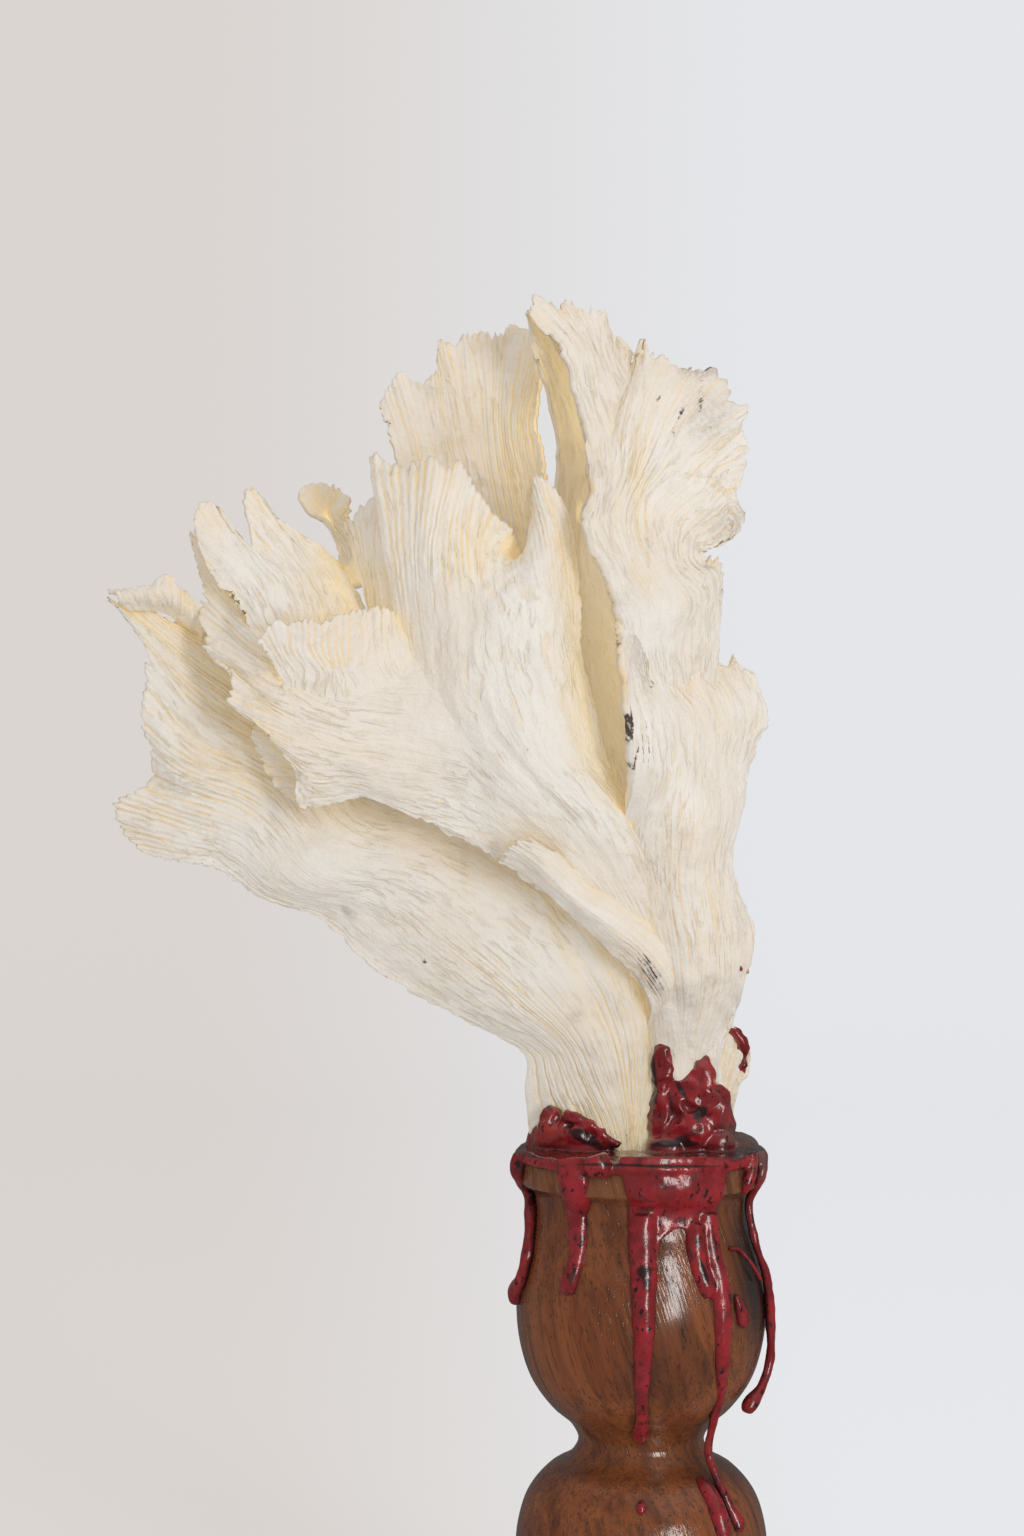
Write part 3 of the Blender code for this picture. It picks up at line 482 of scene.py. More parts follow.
# Each frond's own look goes over the plain one. Its rows run from its foot to its rim, "folds" says
# how many and how high, and a pit is (x, z, reach, pull), where ridges draw together.
plainFrond = {
    "rim": 0.7, "body": 0.12, "scales": 0.2, "cut": 1.0, "fray": 1.3, "notch": 1.0, "tuck": 0,
    "tuckLength": 0.15, "bumps": ((13, 0.8), (5, 0.5), (2, 0.28), (1, 0.12)), "pits": (), "grooved": (),
    "relief": (), "ochreAndGlow": (), "smudge": (), "soot": (), "sootLines": (),
}
fronds = {}
fronds["lowerFrond"] = {
    "rows": [
        [(-31, 9, 186), (-20, 2, 186), (-8, -1, 186), (1, 1, 186), (5, 9, 186)],
        [(-34, 9, 205), (-22, 1, 205), (-9, -3, 206), (1, 0, 206), (6, 8, 205)],
        [(-36, 7, 221.5), (-24, -2, 223), (-12, -5, 225), (-3, -3, 226), (4, 5, 223)],
        [(-57, 4, 232.4), (-38, -5, 238), (-21, -6, 243), (-7, -4, 246), (6, 2, 243)],
        [(-83, 0, 247), (-62, -8, 254), (-42, -9, 262), (-23, -6, 268), (-8, 2, 278)],
        [(-104, -4, 265), (-86, -11, 272), (-70, -11, 281), (-60, -6, 291), (-46, 0, 298)],
        [(-121, -7, 270.5), (-109, -14, 277), (-98, -14, 286), (-88, -9, 298), (-78, -2, 302)],
        [(-137, -9, 280), (-128, -14, 290), (-118, -14, 306), (-106, -8, 318), (-95, 0, 322)],
        [(-150, -10, 281), (-147, -14, 297), (-143, -16, 318), (-135, -12, 338), (-120, -4, 346)],
        [(-158, -10, 283), (-164, -10, 288), (-168, -11, 294), (-169.7, -12, 299), (-162.5, -13, 304),
         (-158, -10, 307), (-157.6, -13, 318), (-159.8, -14, 325), (-159, -15, 340), (-160.3, -16, 351),
         (-164, -16, 358), (-171, -16, 366.5), (-160, -14, 363), (-151, -12, 359), (-140, -7, 353)],
    ],
    "wall": [(0, 13), (0.2, 7), (0.5, 4.5), (1, 2)], "ridges": 46, "lines": 180, "folds": (17, 0.12),
    "ruffle": 0.72, "depth": 0.9, "rim": 0.76, "pits": [(-4, 189, 0.6, 0.92), (-118, 300, 0.16, 0.3)],
    "grooved": [(-14, 210, 24, 26, 20, 1.1), (-38, 240, 26, 9, -35, 0.5), (-120, 268, 34, 9, -30, 0.5),
                (-140, 315, 16, 26, 20, 0.45)],
    "relief": [(-24, 258, 4, 16, 20, -1.6), (-14, 236, 3.5, 14, 25, -1.4), (-15, 228, 6, 6, 0, 0.7),
               (-139, 301, 20, 3, -14, -1.4), (-60, 268, 16, 9, -30, 0.9), (-100, 280, 12, 8, 0, 0.8)],
    "ochreAndGlow": [(-19, 232, 9, 7, 0, 0.45), (-66, 288, 20, 5, -20, 0.3), (-138, 310, 16, 6, -30, 0.3),
              (-10, 205, 18, 20, 20, 0.1), (-60, 255, 30, 10, -32, 0.25)],
    "smudge": [(-93, 267, 3.2, 1.3, -35, 0.6), (-21, 233, 3, 2, 0, 0.35)],
    "soot": [(-69, 251, 1.4, 0.8, -40, 0.7), (-137, 281.5, 1.2, 0.7, 0, 0.5)],
    "sootLines": [(-9, 204, 11, 13, 20, 0.12), (-16, 224, 5, 12, 25, 0.2), (-3, 192, 4, 5, 0, 0.3)],
}
fronds["foldedTip"] = {
    "rows": [
        [(-164, -15, 363.2), (-158, -15, 363), (-152, -14, 361.6), (-146, -11, 357.5), (-139, -8, 350)],
        [(-169, -18, 367), (-159, -19, 367), (-151, -19, 367.5), (-144.5, -16, 363), (-138, -12, 356)],
        [(-172, -16, 367.6), (-164.5, -18, 368.8), (-157.6, -18, 370), (-150.6, -18, 373.5),
         (-145.8, -16, 370), (-142, -15, 363), (-137, -12, 360)],
    ],
    "wall": [(0, 2.4), (1, 2)], "ridges": 14, "lines": 30, "folds": (7, 0.12), "ruffle": 0.3, "depth": 0.35,
    "rim": 0.3, "body": 0.3,
}
fronds["centreFrond"] = {
    "rows": [
        [(7, 2, 204), (12, -1, 204), (17, 2, 204)],
        [(3, -1, 228), (11, -5, 228), (19, -1, 230)],
        [(3, -6, 238), (9, -9, 240), (16, -7, 243)],
        [(-9, -12, 252), (-2, -13, 255), (5, -12, 258), (10, -9, 260)],
        [(-22, -16, 264), (-12, -17, 270), (-2, -17, 276), (8, -13, 282)],
        [(-41, -18, 279), (-28, -21, 289), (-14, -22, 297), (-6, -17, 303)],
        [(-55, -17, 288), (-44, -22, 304), (-30, -25, 317), (-14, -19, 325)],
        [(-70, -15, 297), (-60, -21, 322), (-43, -25, 338), (-30, -25, 344), (-19, -18, 345)],
        [(-82, -11, 338), (-70, -20, 350), (-52, -24, 361), (-34, -25, 366), (-20, -18, 366)],
        [(-90, -8, 374), (-76, -18, 380), (-58, -21, 383), (-43, -18, 377), (-30, -21, 384),
         (-21.5, -17, 385)],
        [(-96, -3, 389), (-90, -6, 395), (-84, -9, 400), (-85.5, -10, 413), (-79, -12, 411.5),
         (-75.7, -13, 409.5), (-65.6, -15, 412), (-57.3, -14, 410), (-54, -14, 402), (-49, -14, 394.4),
         (-42.6, -13, 388), (-36, -10, 379), (-35, -14, 390), (-33.4, -17, 406.4), (-28.8, -17, 402.5),
         (-25, -17, 397)],
    ],
    "wall": [(0, 11), (0.15, 7), (0.5, 5), (1, 2)], "ridges": 48, "lines": 160, "folds": (18, 0.096),
    "ruffle": 0.84, "depth": 0.6, "rim": 0.84, "body": 0.05, "scales": 0.5,
    "pits": [(-67, 398, 0.1, 0.45), (-53, 370, 0.09, 0.45), (-100, 316, 0.1, 0.3), (-78, 338, 0.07, 0.35)],
    "grooved": [(-56, 380, 11, 16, 20, 0.6), (-2, 262, 12, 24, 8, 0.5), (-22, 340, 7, 34, 8, 0.22),
                (-62, 330, 20, 26, 20, -0.6)],
    "relief": [(-86, 322, 18, 3, -35, -0.9), (-60, 345, 9, 14, 30, 0.5), (-40, 310, 16, 18, 0, 0.6)],
    "ochreAndGlow": [(-57, 380, 10, 14, 20, 0.7), (-81, 338, 2.4, 3, 40, 1), (-79, 357, 2, 2.2, 0, 1.2),
              (-86, 328, 5, 3, -40, 0.5), (-45, 325, 40, 30, 0, 0.12), (-70, 402, 12, 10, 0, 0.3),
              (-24, 281, 22, 8, -40, -0.3)],
    "smudge": [(-63, 305, 2.4, 0.9, -20, 0.4), (-93, 307, 6, 0.8, 4, 0.22)],
    "soot": [(-36, 318, 0.9, 0.6, -30, 0.4)],
}
fronds["frontFold"] = {
    "rows": [
        [(2, -4, 226), (9, -5, 230), (17, -3, 238)],
        [(3, -10, 236), (9, -13, 241), (15, -9, 249)],
        [(-3, -13, 245.5), (3, -18, 251), (11, -12, 258)],
        [(-13, -17, 256.5), (-8, -22, 260.5), (0, -14, 267)],
        [(-25, -20, 266.8), (-22, -26, 270), (-15, -18, 275)],
        [(-37, -21, 277), (-33, -27, 280.5), (-28, -24, 285)],
        [(-46, -22, 281.5), (-43.5, -26, 285), (-40, -28, 288), (-36.5, -27, 289.5)],
    ],
    "wall": [(0, 2), (1, 2)], "ridges": 16, "lines": 70, "folds": (4, 0.08), "ruffle": 0.36, "depth": 0.35,
    "rim": 0.95, "body": 0.3, "tuck": 2, "tuckLength": 0.2,
    "grooved": [(2, 247, 14, 10, -40, 0.9)],
    "smudge": [(3.6, 245, 2.4, 6, 28, 0.5), (11, 236, 5, 4, 30, 0.25)],
    "soot": [(3.4, 247.4, 0.4, 5, 28, 0.5), (1, 241.5, 0.4, 3, 30, 0.4)],
    "sootLines": [(3.6, 245, 3, 7.5, 28, 0.9), (-4, 253, 3, 10, 45, 0.25)],
}
fronds["leftFrond"] = {
    "rows": [
        [(-42, -16.5, 286), (-44, -21, 307), (-48, -22, 330), (-56, -20.5, 345), (-64, -18.5, 357)],
        [(-59, -18.5, 290.5), (-62, -20.2, 309), (-67, -20.7, 328), (-74, -19.2, 342), (-80, -16, 352)],
        [(-73, -20, 296), (-79, -22, 311), (-84, -22, 327), (-90, -20.8, 339), (-94, -16, 352)],
        [(-86, -21, 301.5), (-95, -24.5, 314), (-100, -24.5, 328), (-103, -23.5, 340), (-106, -17, 354)],
        [(-99, -23, 299.5), (-108, -26.5, 315), (-116, -26.5, 330), (-118, -24.5, 343), (-124, -13, 364)],
        [(-108, -23, 297), (-111, -24, 302), (-110.5, -25, 308), (-114, -26, 316), (-119, -27, 322),
         (-126, -27, 326.5), (-134.4, -26, 335.5), (-131.5, -24, 343), (-137.4, -21, 347), (-142, -19, 352),
         (-142, -16, 360), (-141.5, -14, 370), (-143, -12, 380), (-145.5, -10, 390), (-140, -9, 384),
         (-134, -9, 377)],
    ],
    "wall": [(0, 5), (1, 2)], "ridges": 42, "lines": 100, "folds": (15, 0.16), "ruffle": 0.72, "depth": 0.6,
    "body": 0.14, "tuck": 0.8, "tuckLength": 0.2, "pits": [(-110, 340, 0.1, 0.35), (-94, 346, 0.1, 0.35)],
    "grooved": [(-104, 334, 14, 8, -35, 0.7)],
    "relief": [(-112, 342, 14, 2.6, -25, -1)],
    "ochreAndGlow": [(-112, 338, 9, 2, -15, 1.2), (-100, 318, 16, 3, -15, 0.4)],
}
fronds["underLip"] = {
    "rows": [
        [(-103, -18, 302), (-106, -19, 310), (-113, -19, 321)],
        [(-111, -18.5, 300), (-116, -18.5, 304), (-120, -19, 309), (-124, -19, 317), (-128, -20, 323),
         (-124, -21, 327)],
    ],
    "wall": [(0, 2.2), (1, 1.8)], "ridges": 14, "lines": 20, "folds": (5, 0.12), "ruffle": 0.36,
    "depth": 0.35, "rim": 0.3, "body": 0.3,
}
fronds["leftLip"] = {
    "rows": [
        [(-113, -25, 330), (-99, -23, 326), (-82, -20, 326), (-63, -17.5, 334)],
        [(-116, -26.3, 340), (-102, -25, 339), (-85, -21.4, 341), (-66, -18, 346)],
        [(-120, -27.5, 348), (-105, -27, 350), (-87, -22.6, 353), (-70, -17, 355)],
        [(-124, -29, 352), (-119.6, -30, 357.6), (-112, -30, 359.7), (-100, -28, 360), (-92, -24.5, 362.4),
         (-84, -21, 363.5), (-78, -17.5, 361.5), (-72, -15, 358)],
    ],
    "wall": [(0, 3.4), (1, 2)], "ridges": 26, "lines": 70, "folds": (8, 0.09), "ruffle": 0.48, "depth": 0.5,
    "rim": 0.6, "body": 0.2, "tuck": 2, "tuckLength": 0.3, "pits": [(-98, 343, 0.25, 0.4)],
    "ochreAndGlow": [(-98, 345, 4, 3, 0, 0.5)],
}
fronds["fingerFrond"] = {
    "rows": [
        [(-117, -18, 348), (-106, -18, 345), (-95, -14, 346), (-84, -8, 351)],
        [(-126, -20, 357), (-112, -20, 358), (-100, -15, 358), (-89, -6, 362)],
        [(-135, -19, 369), (-126, -19, 371), (-116, -18, 371), (-104, -11, 370), (-95, -3, 373)],
        [(-137, -19, 372), (-140, -19, 378), (-143, -18, 387), (-143, -17, 394), (-140, -16, 397),
         (-136.7, -16, 396), (-133.5, -17, 391), (-130, -17, 386.5), (-125.5, -17, 382), (-127, -15, 394),
         (-127.7, -13, 400), (-125, -12, 401.3), (-120.7, -12, 398), (-115.4, -12, 390.6),
         (-110, -10, 386.4), (-104, -7, 383), (-97, -2, 377.5), (-94, 0, 375)],
    ],
    "wall": [(0, 3.4), (1, 1.8)], "ridges": 36, "lines": 56, "folds": (14, 0.18), "ruffle": 0.48,
    "depth": 0.4, "rim": 0.85, "notch": 0.5,
    "ochreAndGlow": [(-92, 364, 16, 12, 0, 0.45)],
}
fronds["curledTip"] = {
    "rows": [
        [(-98, 0, 370), (-93, -3, 369), (-85, -8, 372)],
        [(-97, 3, 380), (-92, 1, 380), (-87, -4, 382)],
        [(-100, 5, 388), (-96, 4, 387), (-90, -2, 388)],
        [(-107, 5, 393), (-101, 7, 393), (-94, 1, 392)],
        [(-110.5, 3, 399), (-107, 5, 402), (-100.5, 7, 403), (-96.8, 5, 401.3), (-93, 1, 397),
         (-93, -1, 393.5)],
    ],
    "wall": [(0, 3), (1, 1.8)], "ridges": 14, "lines": 44, "folds": (4, 0.08), "ruffle": 0.24,
    "depth": 0.35, "body": 0.25,
    "ochreAndGlow": [(-90, 388, 14, 16, 0, 1.25)],
}
fronds["backFrond"] = {
    "rows": [
        [(4, 3, 222), (10, 8, 222), (18, 8, 224)],
        [(-2, 2, 256), (8, 9, 256), (18, 11, 256)],
        [(-14, -2, 290), (2, 6, 290), (19, 10, 290)],
        [(-26, -4, 320), (-10, 3, 322), (8, 11, 322), (22, 16, 322)],
        [(-33, -3, 360), (-18, 1, 362), (-2, 9, 362), (14, 16, 360)],
        [(-28, -3, 396), (-20, 0, 397), (-10, 6, 398), (4, 12, 396)],
        [(-27, -4, 411), (-20, -2, 413), (-10, 3, 414), (0, 8, 412)],
        [(-30, -6, 429), (-24, -4, 432), (-16, 0, 432), (-8, 4, 430)],
        [(-33, -8, 441), (-36.5, -10, 455), (-37.5, -11, 460), (-35, -11, 462), (-32, -10, 455),
         (-27, -8, 450), (-20, -4, 446), (-14, 0, 442)],
    ],
    "wall": [(0, 3), (0.1, 7), (0.25, 6), (1, 2)], "ridges": 20, "lines": 90, "folds": (8, 0.18),
    "ruffle": 0.48, "depth": 0.3, "rim": 0.9, "body": 0.05,
    "ochreAndGlow": [(-12, 350, 14, 80, 6, 1.8)],
}
fronds["crestFrond"] = {
    "rows": [
        [(-46, -23.4, 312), (-38, -24.2, 314), (-30, -24.6, 317)],
        [(-50, -17, 324), (-42, -17, 326), (-33, -17, 329)],
        [(-55, -10, 337), (-45, -9, 338), (-35, -8, 341)],
        [(-66, -4, 372), (-50, 0, 372), (-38, 0, 374), (-31, -3, 378)],
        [(-76, 0, 398), (-58, 3, 398), (-42, 1.6, 396), (-30, -3, 403)],
        [(-81, 2, 416), (-62, 3, 417), (-46, 4, 418), (-33, 0, 420)],
        [(-84, 4, 427), (-80, 4, 435.6), (-77, 4, 438.6), (-74, 4, 437), (-66, 3, 438), (-65.5, 3, 446),
         (-65, 3, 448.5), (-60, 4, 450), (-52.6, 4, 452), (-47.3, 4, 453.7), (-38.7, 3, 453), (-34, 1, 451),
         (-31.7, -1, 438)],
    ],
    "wall": [(0, 2.4), (0.2, 4), (1, 2)], "ridges": 38, "lines": 110, "folds": (13, 0.16), "ruffle": 0.72,
    "depth": 0.6, "rim": 0.55, "body": 0.4, "scales": 0.6,
    "pits": [(-63, 420, 0.12, 0.4), (-36, 380, 0.12, 0.4), (-46, 428, 0.12, 0.3)],
    "grooved": [(-45, 415, 30, 40, 0, 0.6)],
    "ochreAndGlow": [(-50, 415, 30, 36, 0, 0.25), (-32, 372, 4, 10, 0, 0.6), (-37, 408, 10, 50, -4, 1.1)],
    "soot": [(-25, 450, 0.8, 0.6, 0, 0.5), (-19, 414, 0.7, 0.7, 0, 0.8)],
}
fronds["rightFrond"] = {
    "rows": [
        [(7, 4, 200), (15, 0, 200), (23, 4, 200)],
        [(8, -1, 222), (16, -3, 222), (24, 2, 222)],
        [(6, -6, 238), (14, -10, 239), (20, -10, 239), (25, -6, 239), (30, 0, 240)],
        [(1, -10, 255), (10, -14.5, 257), (18, -14.5, 258), (26, -10, 257), (35, -2, 257)],
        [(-3, -13, 272), (7, -17.5, 275), (16, -17.5, 277), (22, -12, 277), (28, -2, 276)],
        [(-7, -15.5, 291), (4, -20, 294), (15, -19.5, 296), (24, -12, 297), (30, -1, 297)],
        [(-3.5, -28, 309), (5, -24, 310), (14, -17, 312), (24, -8, 312), (34.5, 2, 315)],
        [(-4.5, -30, 324), (3, -25, 327), (12, -16, 328), (24, -6, 328), (40, 6, 327)],
        [(-7.5, -30, 344), (-2, -25, 343), (5, -16, 342), (16, -9, 340), (26, -1, 341), (37, 5, 338)],
        [(-8.5, -20, 363), (-4, -16, 366), (3, -9, 369), (10, -6, 372), (16, -4, 376), (22, -3, 380),
         (26, -3, 379), (26, 0, 369.5), (23.3, 2, 361), (20, 3, 351), (23, 4, 345.6), (26.4, 4, 344),
         (29.6, 5, 348.3), (31, 5, 343), (36, 5, 340)],
    ],
    "wall": [(0, 10), (0.2, 7), (0.5, 4.5), (1, 2)], "ridges": 34, "lines": 140, "folds": (13, 0.16),
    "ruffle": 0.72, "depth": 0.5, "rim": 0.8, "pits": [(0, 368, 0.14, 0.4)],
    "grooved": [(16, 262, 16, 36, 4, 0.85), (14, 356, 16, 14, 0, -2), (0, 345, 7, 24, 0, 0.5)],
    "relief": [(30, 332, 6, 10, 0, 0.8), (26, 300, 10, 14, 0, 0.6), (3.5, 330, 1.2, 22, 3, -0.9)],
    "ochreAndGlow": [(4, 362, 7, 7, 0, 0.6), (14, 350, 8, 10, 0, 0.25), (18, 325, 14, 20, 0, 0.1)],
    "smudge": [(0, 348, 4.5, 14, 3, 0.4), (14, 240, 3, 5, 30, 0.3), (4, 250, 3, 8, 25, 0.3),
               (21, 245, 2.4, 2.4, 0, 0.4), (30, 262, 2, 10, 0, 0.2), (23, 236, 2, 4, 60, 0.3),
               (28, 240, 3, 4, 20, 0.3)],
    "soot": [(-4.2, 325, 0.35, 7, 3, 0.8), (-2.6, 314, 0.4, 4, -12, 0.8), (3.2, 338, 0.8, 0.8, 0, 1),
             (9, 268, 2.6, 0.6, 25, 0.35), (12.4, 272, 0.6, 2.2, 10, 0.35), (33.5, 293, 0.8, 0.6, 0, 0.8),
             (2, 247, 0.9, 5, 35, 0.7)],
    "sootLines": [(0.6, 319, 3.4, 9, 3, 0.6), (1.5, 343, 3, 12, 2, 0.5), (4.4, 248, 4, 9, 25, 0.7)],
}
fronds["upperFrond"] = {
    "rows": [
        [(0, -21, 315), (8, -17, 315), (16, -11, 316), (24, -5, 317)],
        [(-3, -22, 334), (6, -16, 333), (15, -9.8, 334), (24, -4, 335)],
        [(-6, -23, 351), (3, -17.5, 350), (12, -11.5, 350), (20, -7.5, 351), (24, -5, 352)],
        [(-9.5, -25, 365), (-2, -21, 364), (6, -17, 364), (14, -13, 366), (21, -8, 370), (24, -5, 373)],
        [(-13, -26, 375), (-5, -20, 377), (4, -16, 377), (13, -12, 377), (20.5, -9.5, 378)],
        [(-19.5, -25, 388), (-10, -18, 391), (1, -13, 393), (12, -11, 388), (20.5, -9, 380)],
        [(-17, -22, 400), (-10, -16, 405), (1, -12, 409), (13, -10, 405), (22, -8, 394), (24, -8, 382)],
        [(-18, -15, 412), (-12, -11, 420), (0, -10, 428), (15, -8, 424), (26, -6, 410), (29.5, -5, 396),
         (28, -6, 385)],
        [(-20, -10, 422), (-14, -7, 431), (-6, -7.5, 440), (0.5, -11, 446), (1.7, -11, 451), (3, -11, 445),
         (8.4, -10, 444), (12.6, -9, 439.7), (17, -8, 440), (23.3, -7, 441.4), (29, -6, 435.5),
         (33, -6, 434), (33, -5, 431), (37, -5, 430), (33.5, -5, 423), (34.4, -4, 415), (33, -3, 405),
         (30.5, -4, 397), (34, -4, 389.7), (28, -6, 383.5), (22, -8, 381)],
    ],
    "wall": [(0, 2.4), (0.3, 3), (1, 2)], "ridges": 44, "lines": 104, "folds": (16, 0.16), "ruffle": 0.72,
    "depth": 0.6, "rim": 0.62, "body": 0.22, "cut": 0.75, "tuck": 3, "tuckLength": 0.2,
    "pits": [(0, 368, 0.2, 0.55), (-3, 391, 0.12, 0.45)],
    "grooved": [(0, 400, 14, 34, -6, 0.7), (24, 400, 14, 30, -20, 0.3)],
    "relief": [(-16, 397, 3, 5, 0, 0.8)],
    "ochreAndGlow": [(-1, 393, 3.4, 14, 0, 0.8), (0, 371, 6, 6, 0, 0.7), (-2, 412, 4, 12, 0, 0.5)],
    "smudge": [(20, 439, 8, 3, -6, 0.6), (32, 432, 4, 3, -20, 0.5), (22, 424, 8, 9, 0, 0.3),
               (31, 390, 10, 6, 24, 0.35), (-8, 362, 4, 12, -20, 0.18)],
    "soot": [(5.4, 429.5, 0.7, 1.8, -35, 0.6), (12.8, 425, 0.7, 3, -12, 0.6),
             (10.3, 419, 0.7, 2.4, 8, 0.65), (19.5, 431, 0.8, 7, -4, 0.6), (22.4, 420, 0.5, 1.8, 0, 0.6),
             (14.6, 439, 1.8, 1.5, 0, 0.65), (21.5, 439.6, 2, 1.2, 0, 0.7), (31.5, 434, 2.6, 1.3, -20, 0.7),
             (29, 385, 8, 0.8, 24, 0.45), (-19, 414, 0.8, 0.8, 0, 1)],
    "sootLines": [(14, 426, 6, 6, 0, 0.3), (28, 430, 5, 5, -15, 0.3)],
}
fronds["topFold"] = {
    "rows": [
        [(-14, -15, 406), (-9, -12, 409), (-3, -7, 412), (3, -6, 414)],
        [(-21.6, -14, 430), (-16, -11.5, 431), (-8, -9.5, 431), (2, -8, 430)],
        [(-27, -13, 446), (-20, -10, 447), (-12, -9, 445), (-3, -8.5, 441)],
        [(-33, -13, 452), (-36.6, -13, 459), (-35.5, -12, 463), (-30.6, -10, 463), (-29, -9, 459),
         (-23.7, -9, 461.7), (-20.5, -9, 459), (-11.5, -9, 459), (-10.4, -9, 454.6), (-4.5, -9.5, 447),
         (-1, -9, 442)],
    ],
    "wall": [(0, 3), (1, 1.8)], "ridges": 30, "lines": 50, "folds": (10, 0.18), "ruffle": 0.6, "depth": 0.4,
    "rim": 0.8, "body": 0.15, "tuck": 3,
    "soot": [(-25, 450, 0.8, 0.6, 0, 0.6)],
}
fronds["sideFlap"] = {
    "rows": [
        [(19, 14, 186), (23, 15, 186), (27, 15, 186)],
        [(19, 13, 203), (25, 12, 204), (30.6, 12, 207)],
        [(20, 10, 230), (24.5, 9, 232), (29.4, 9, 229), (33, 10, 225), (35, 11, 220), (34.5, 11.4, 213)],
    ],
    "wall": [(0, 5), (1, 2.4)], "ridges": 14, "lines": 60, "folds": (5, 0.08), "ruffle": 0.3, "depth": 0.4,
    "rim": 0.6, "body": 0.35, "fray": 0.5, "notch": 0.2, "pits": [(27, 200, 0.3, 0.4)],
    "ochreAndGlow": [(26, 208, 20, 40, 0, -0.12)],
}


# where the grooves run: the finer ones only where the frond is wide enough for them
def grooveField(width, ridges, chance):
    order = np.arange(ridges + 1)
    forks = np.zeros(ridges + 1, dtype=int)
    for power in (2, 4, 8, 16):
        forks[order % power == 0] += 1
    apart = width / ridges * 2.0 ** forks * chance.uniform(0.8, 1.25, ridges + 1)
    alive = easeIn(apart, 0.42 * growth["ridgeWidth"], 0.85 * growth["ridgeWidth"])
    alive = alive * chance.uniform(0.4, 1.0, ridges + 1)
    # one in five ends before the rim
    ends = np.where(chance.random(ridges + 1) < 0.2, chance.uniform(0.75, 1.1, ridges + 1), 2.0)
    return alive * (1 - easeIn(evenly(len(width) - 1)[:, None], ends, ends + 0.05))


# pulls the ridges together at each pit, and says where they fan out above it
def drawTogether(pits, fine, u0, v0, u):
    fans = np.zeros_like(u0)
    fineX, fineZ = shownFrom(fine)
    for x, z, reach, pull in pits:
        j, i = np.unravel_index(np.argmin((fineX - x) ** 2 + (fineZ - z) ** 2), fineX.shape)
        pu, pv = i / growth["sheetWide"], j / growth["sheetTall"]
        beside = np.exp(-((u0 - pu) / reach) ** 2)
        level = np.exp(-((v0 - pv) / growth["pitTall"]) ** 2)
        u = u + (pu - u0) * pull * beside * level * np.minimum(1, np.sin(pi * u0) * 4)
        above = easeIn(v0, pv - 0.015, pv + 0.03) * (1 - easeIn(v0, pv + growth["pitTall"], pv + 0.3))
        fans = np.maximum(fans, beside * above)
    return u, fans


# the frond's sheet with its wall, which is thinner towards the rim, and finer there than the solid's
def layWall(name, walls, grid):
    walls = np.array(walls, dtype=float)
    walls[-1, 1] *= growth["rimShare"]
    lines, columns = grid.shape[:2]
    thickness = np.interp(evenly(lines - 1), walls[:, 0], walls[:, 1])
    widest = float(thickness.max())
    piece = layGrid(name, grid, widest)
    weights = piece.vertex_groups.new(name="wall")
    for line, thick in enumerate(thickness):
        weights.add(range(line * columns, (line + 1) * columns), float(thick) / widest, "REPLACE")
    piece.modifiers["wall"].vertex_group = "wall"
    return piece


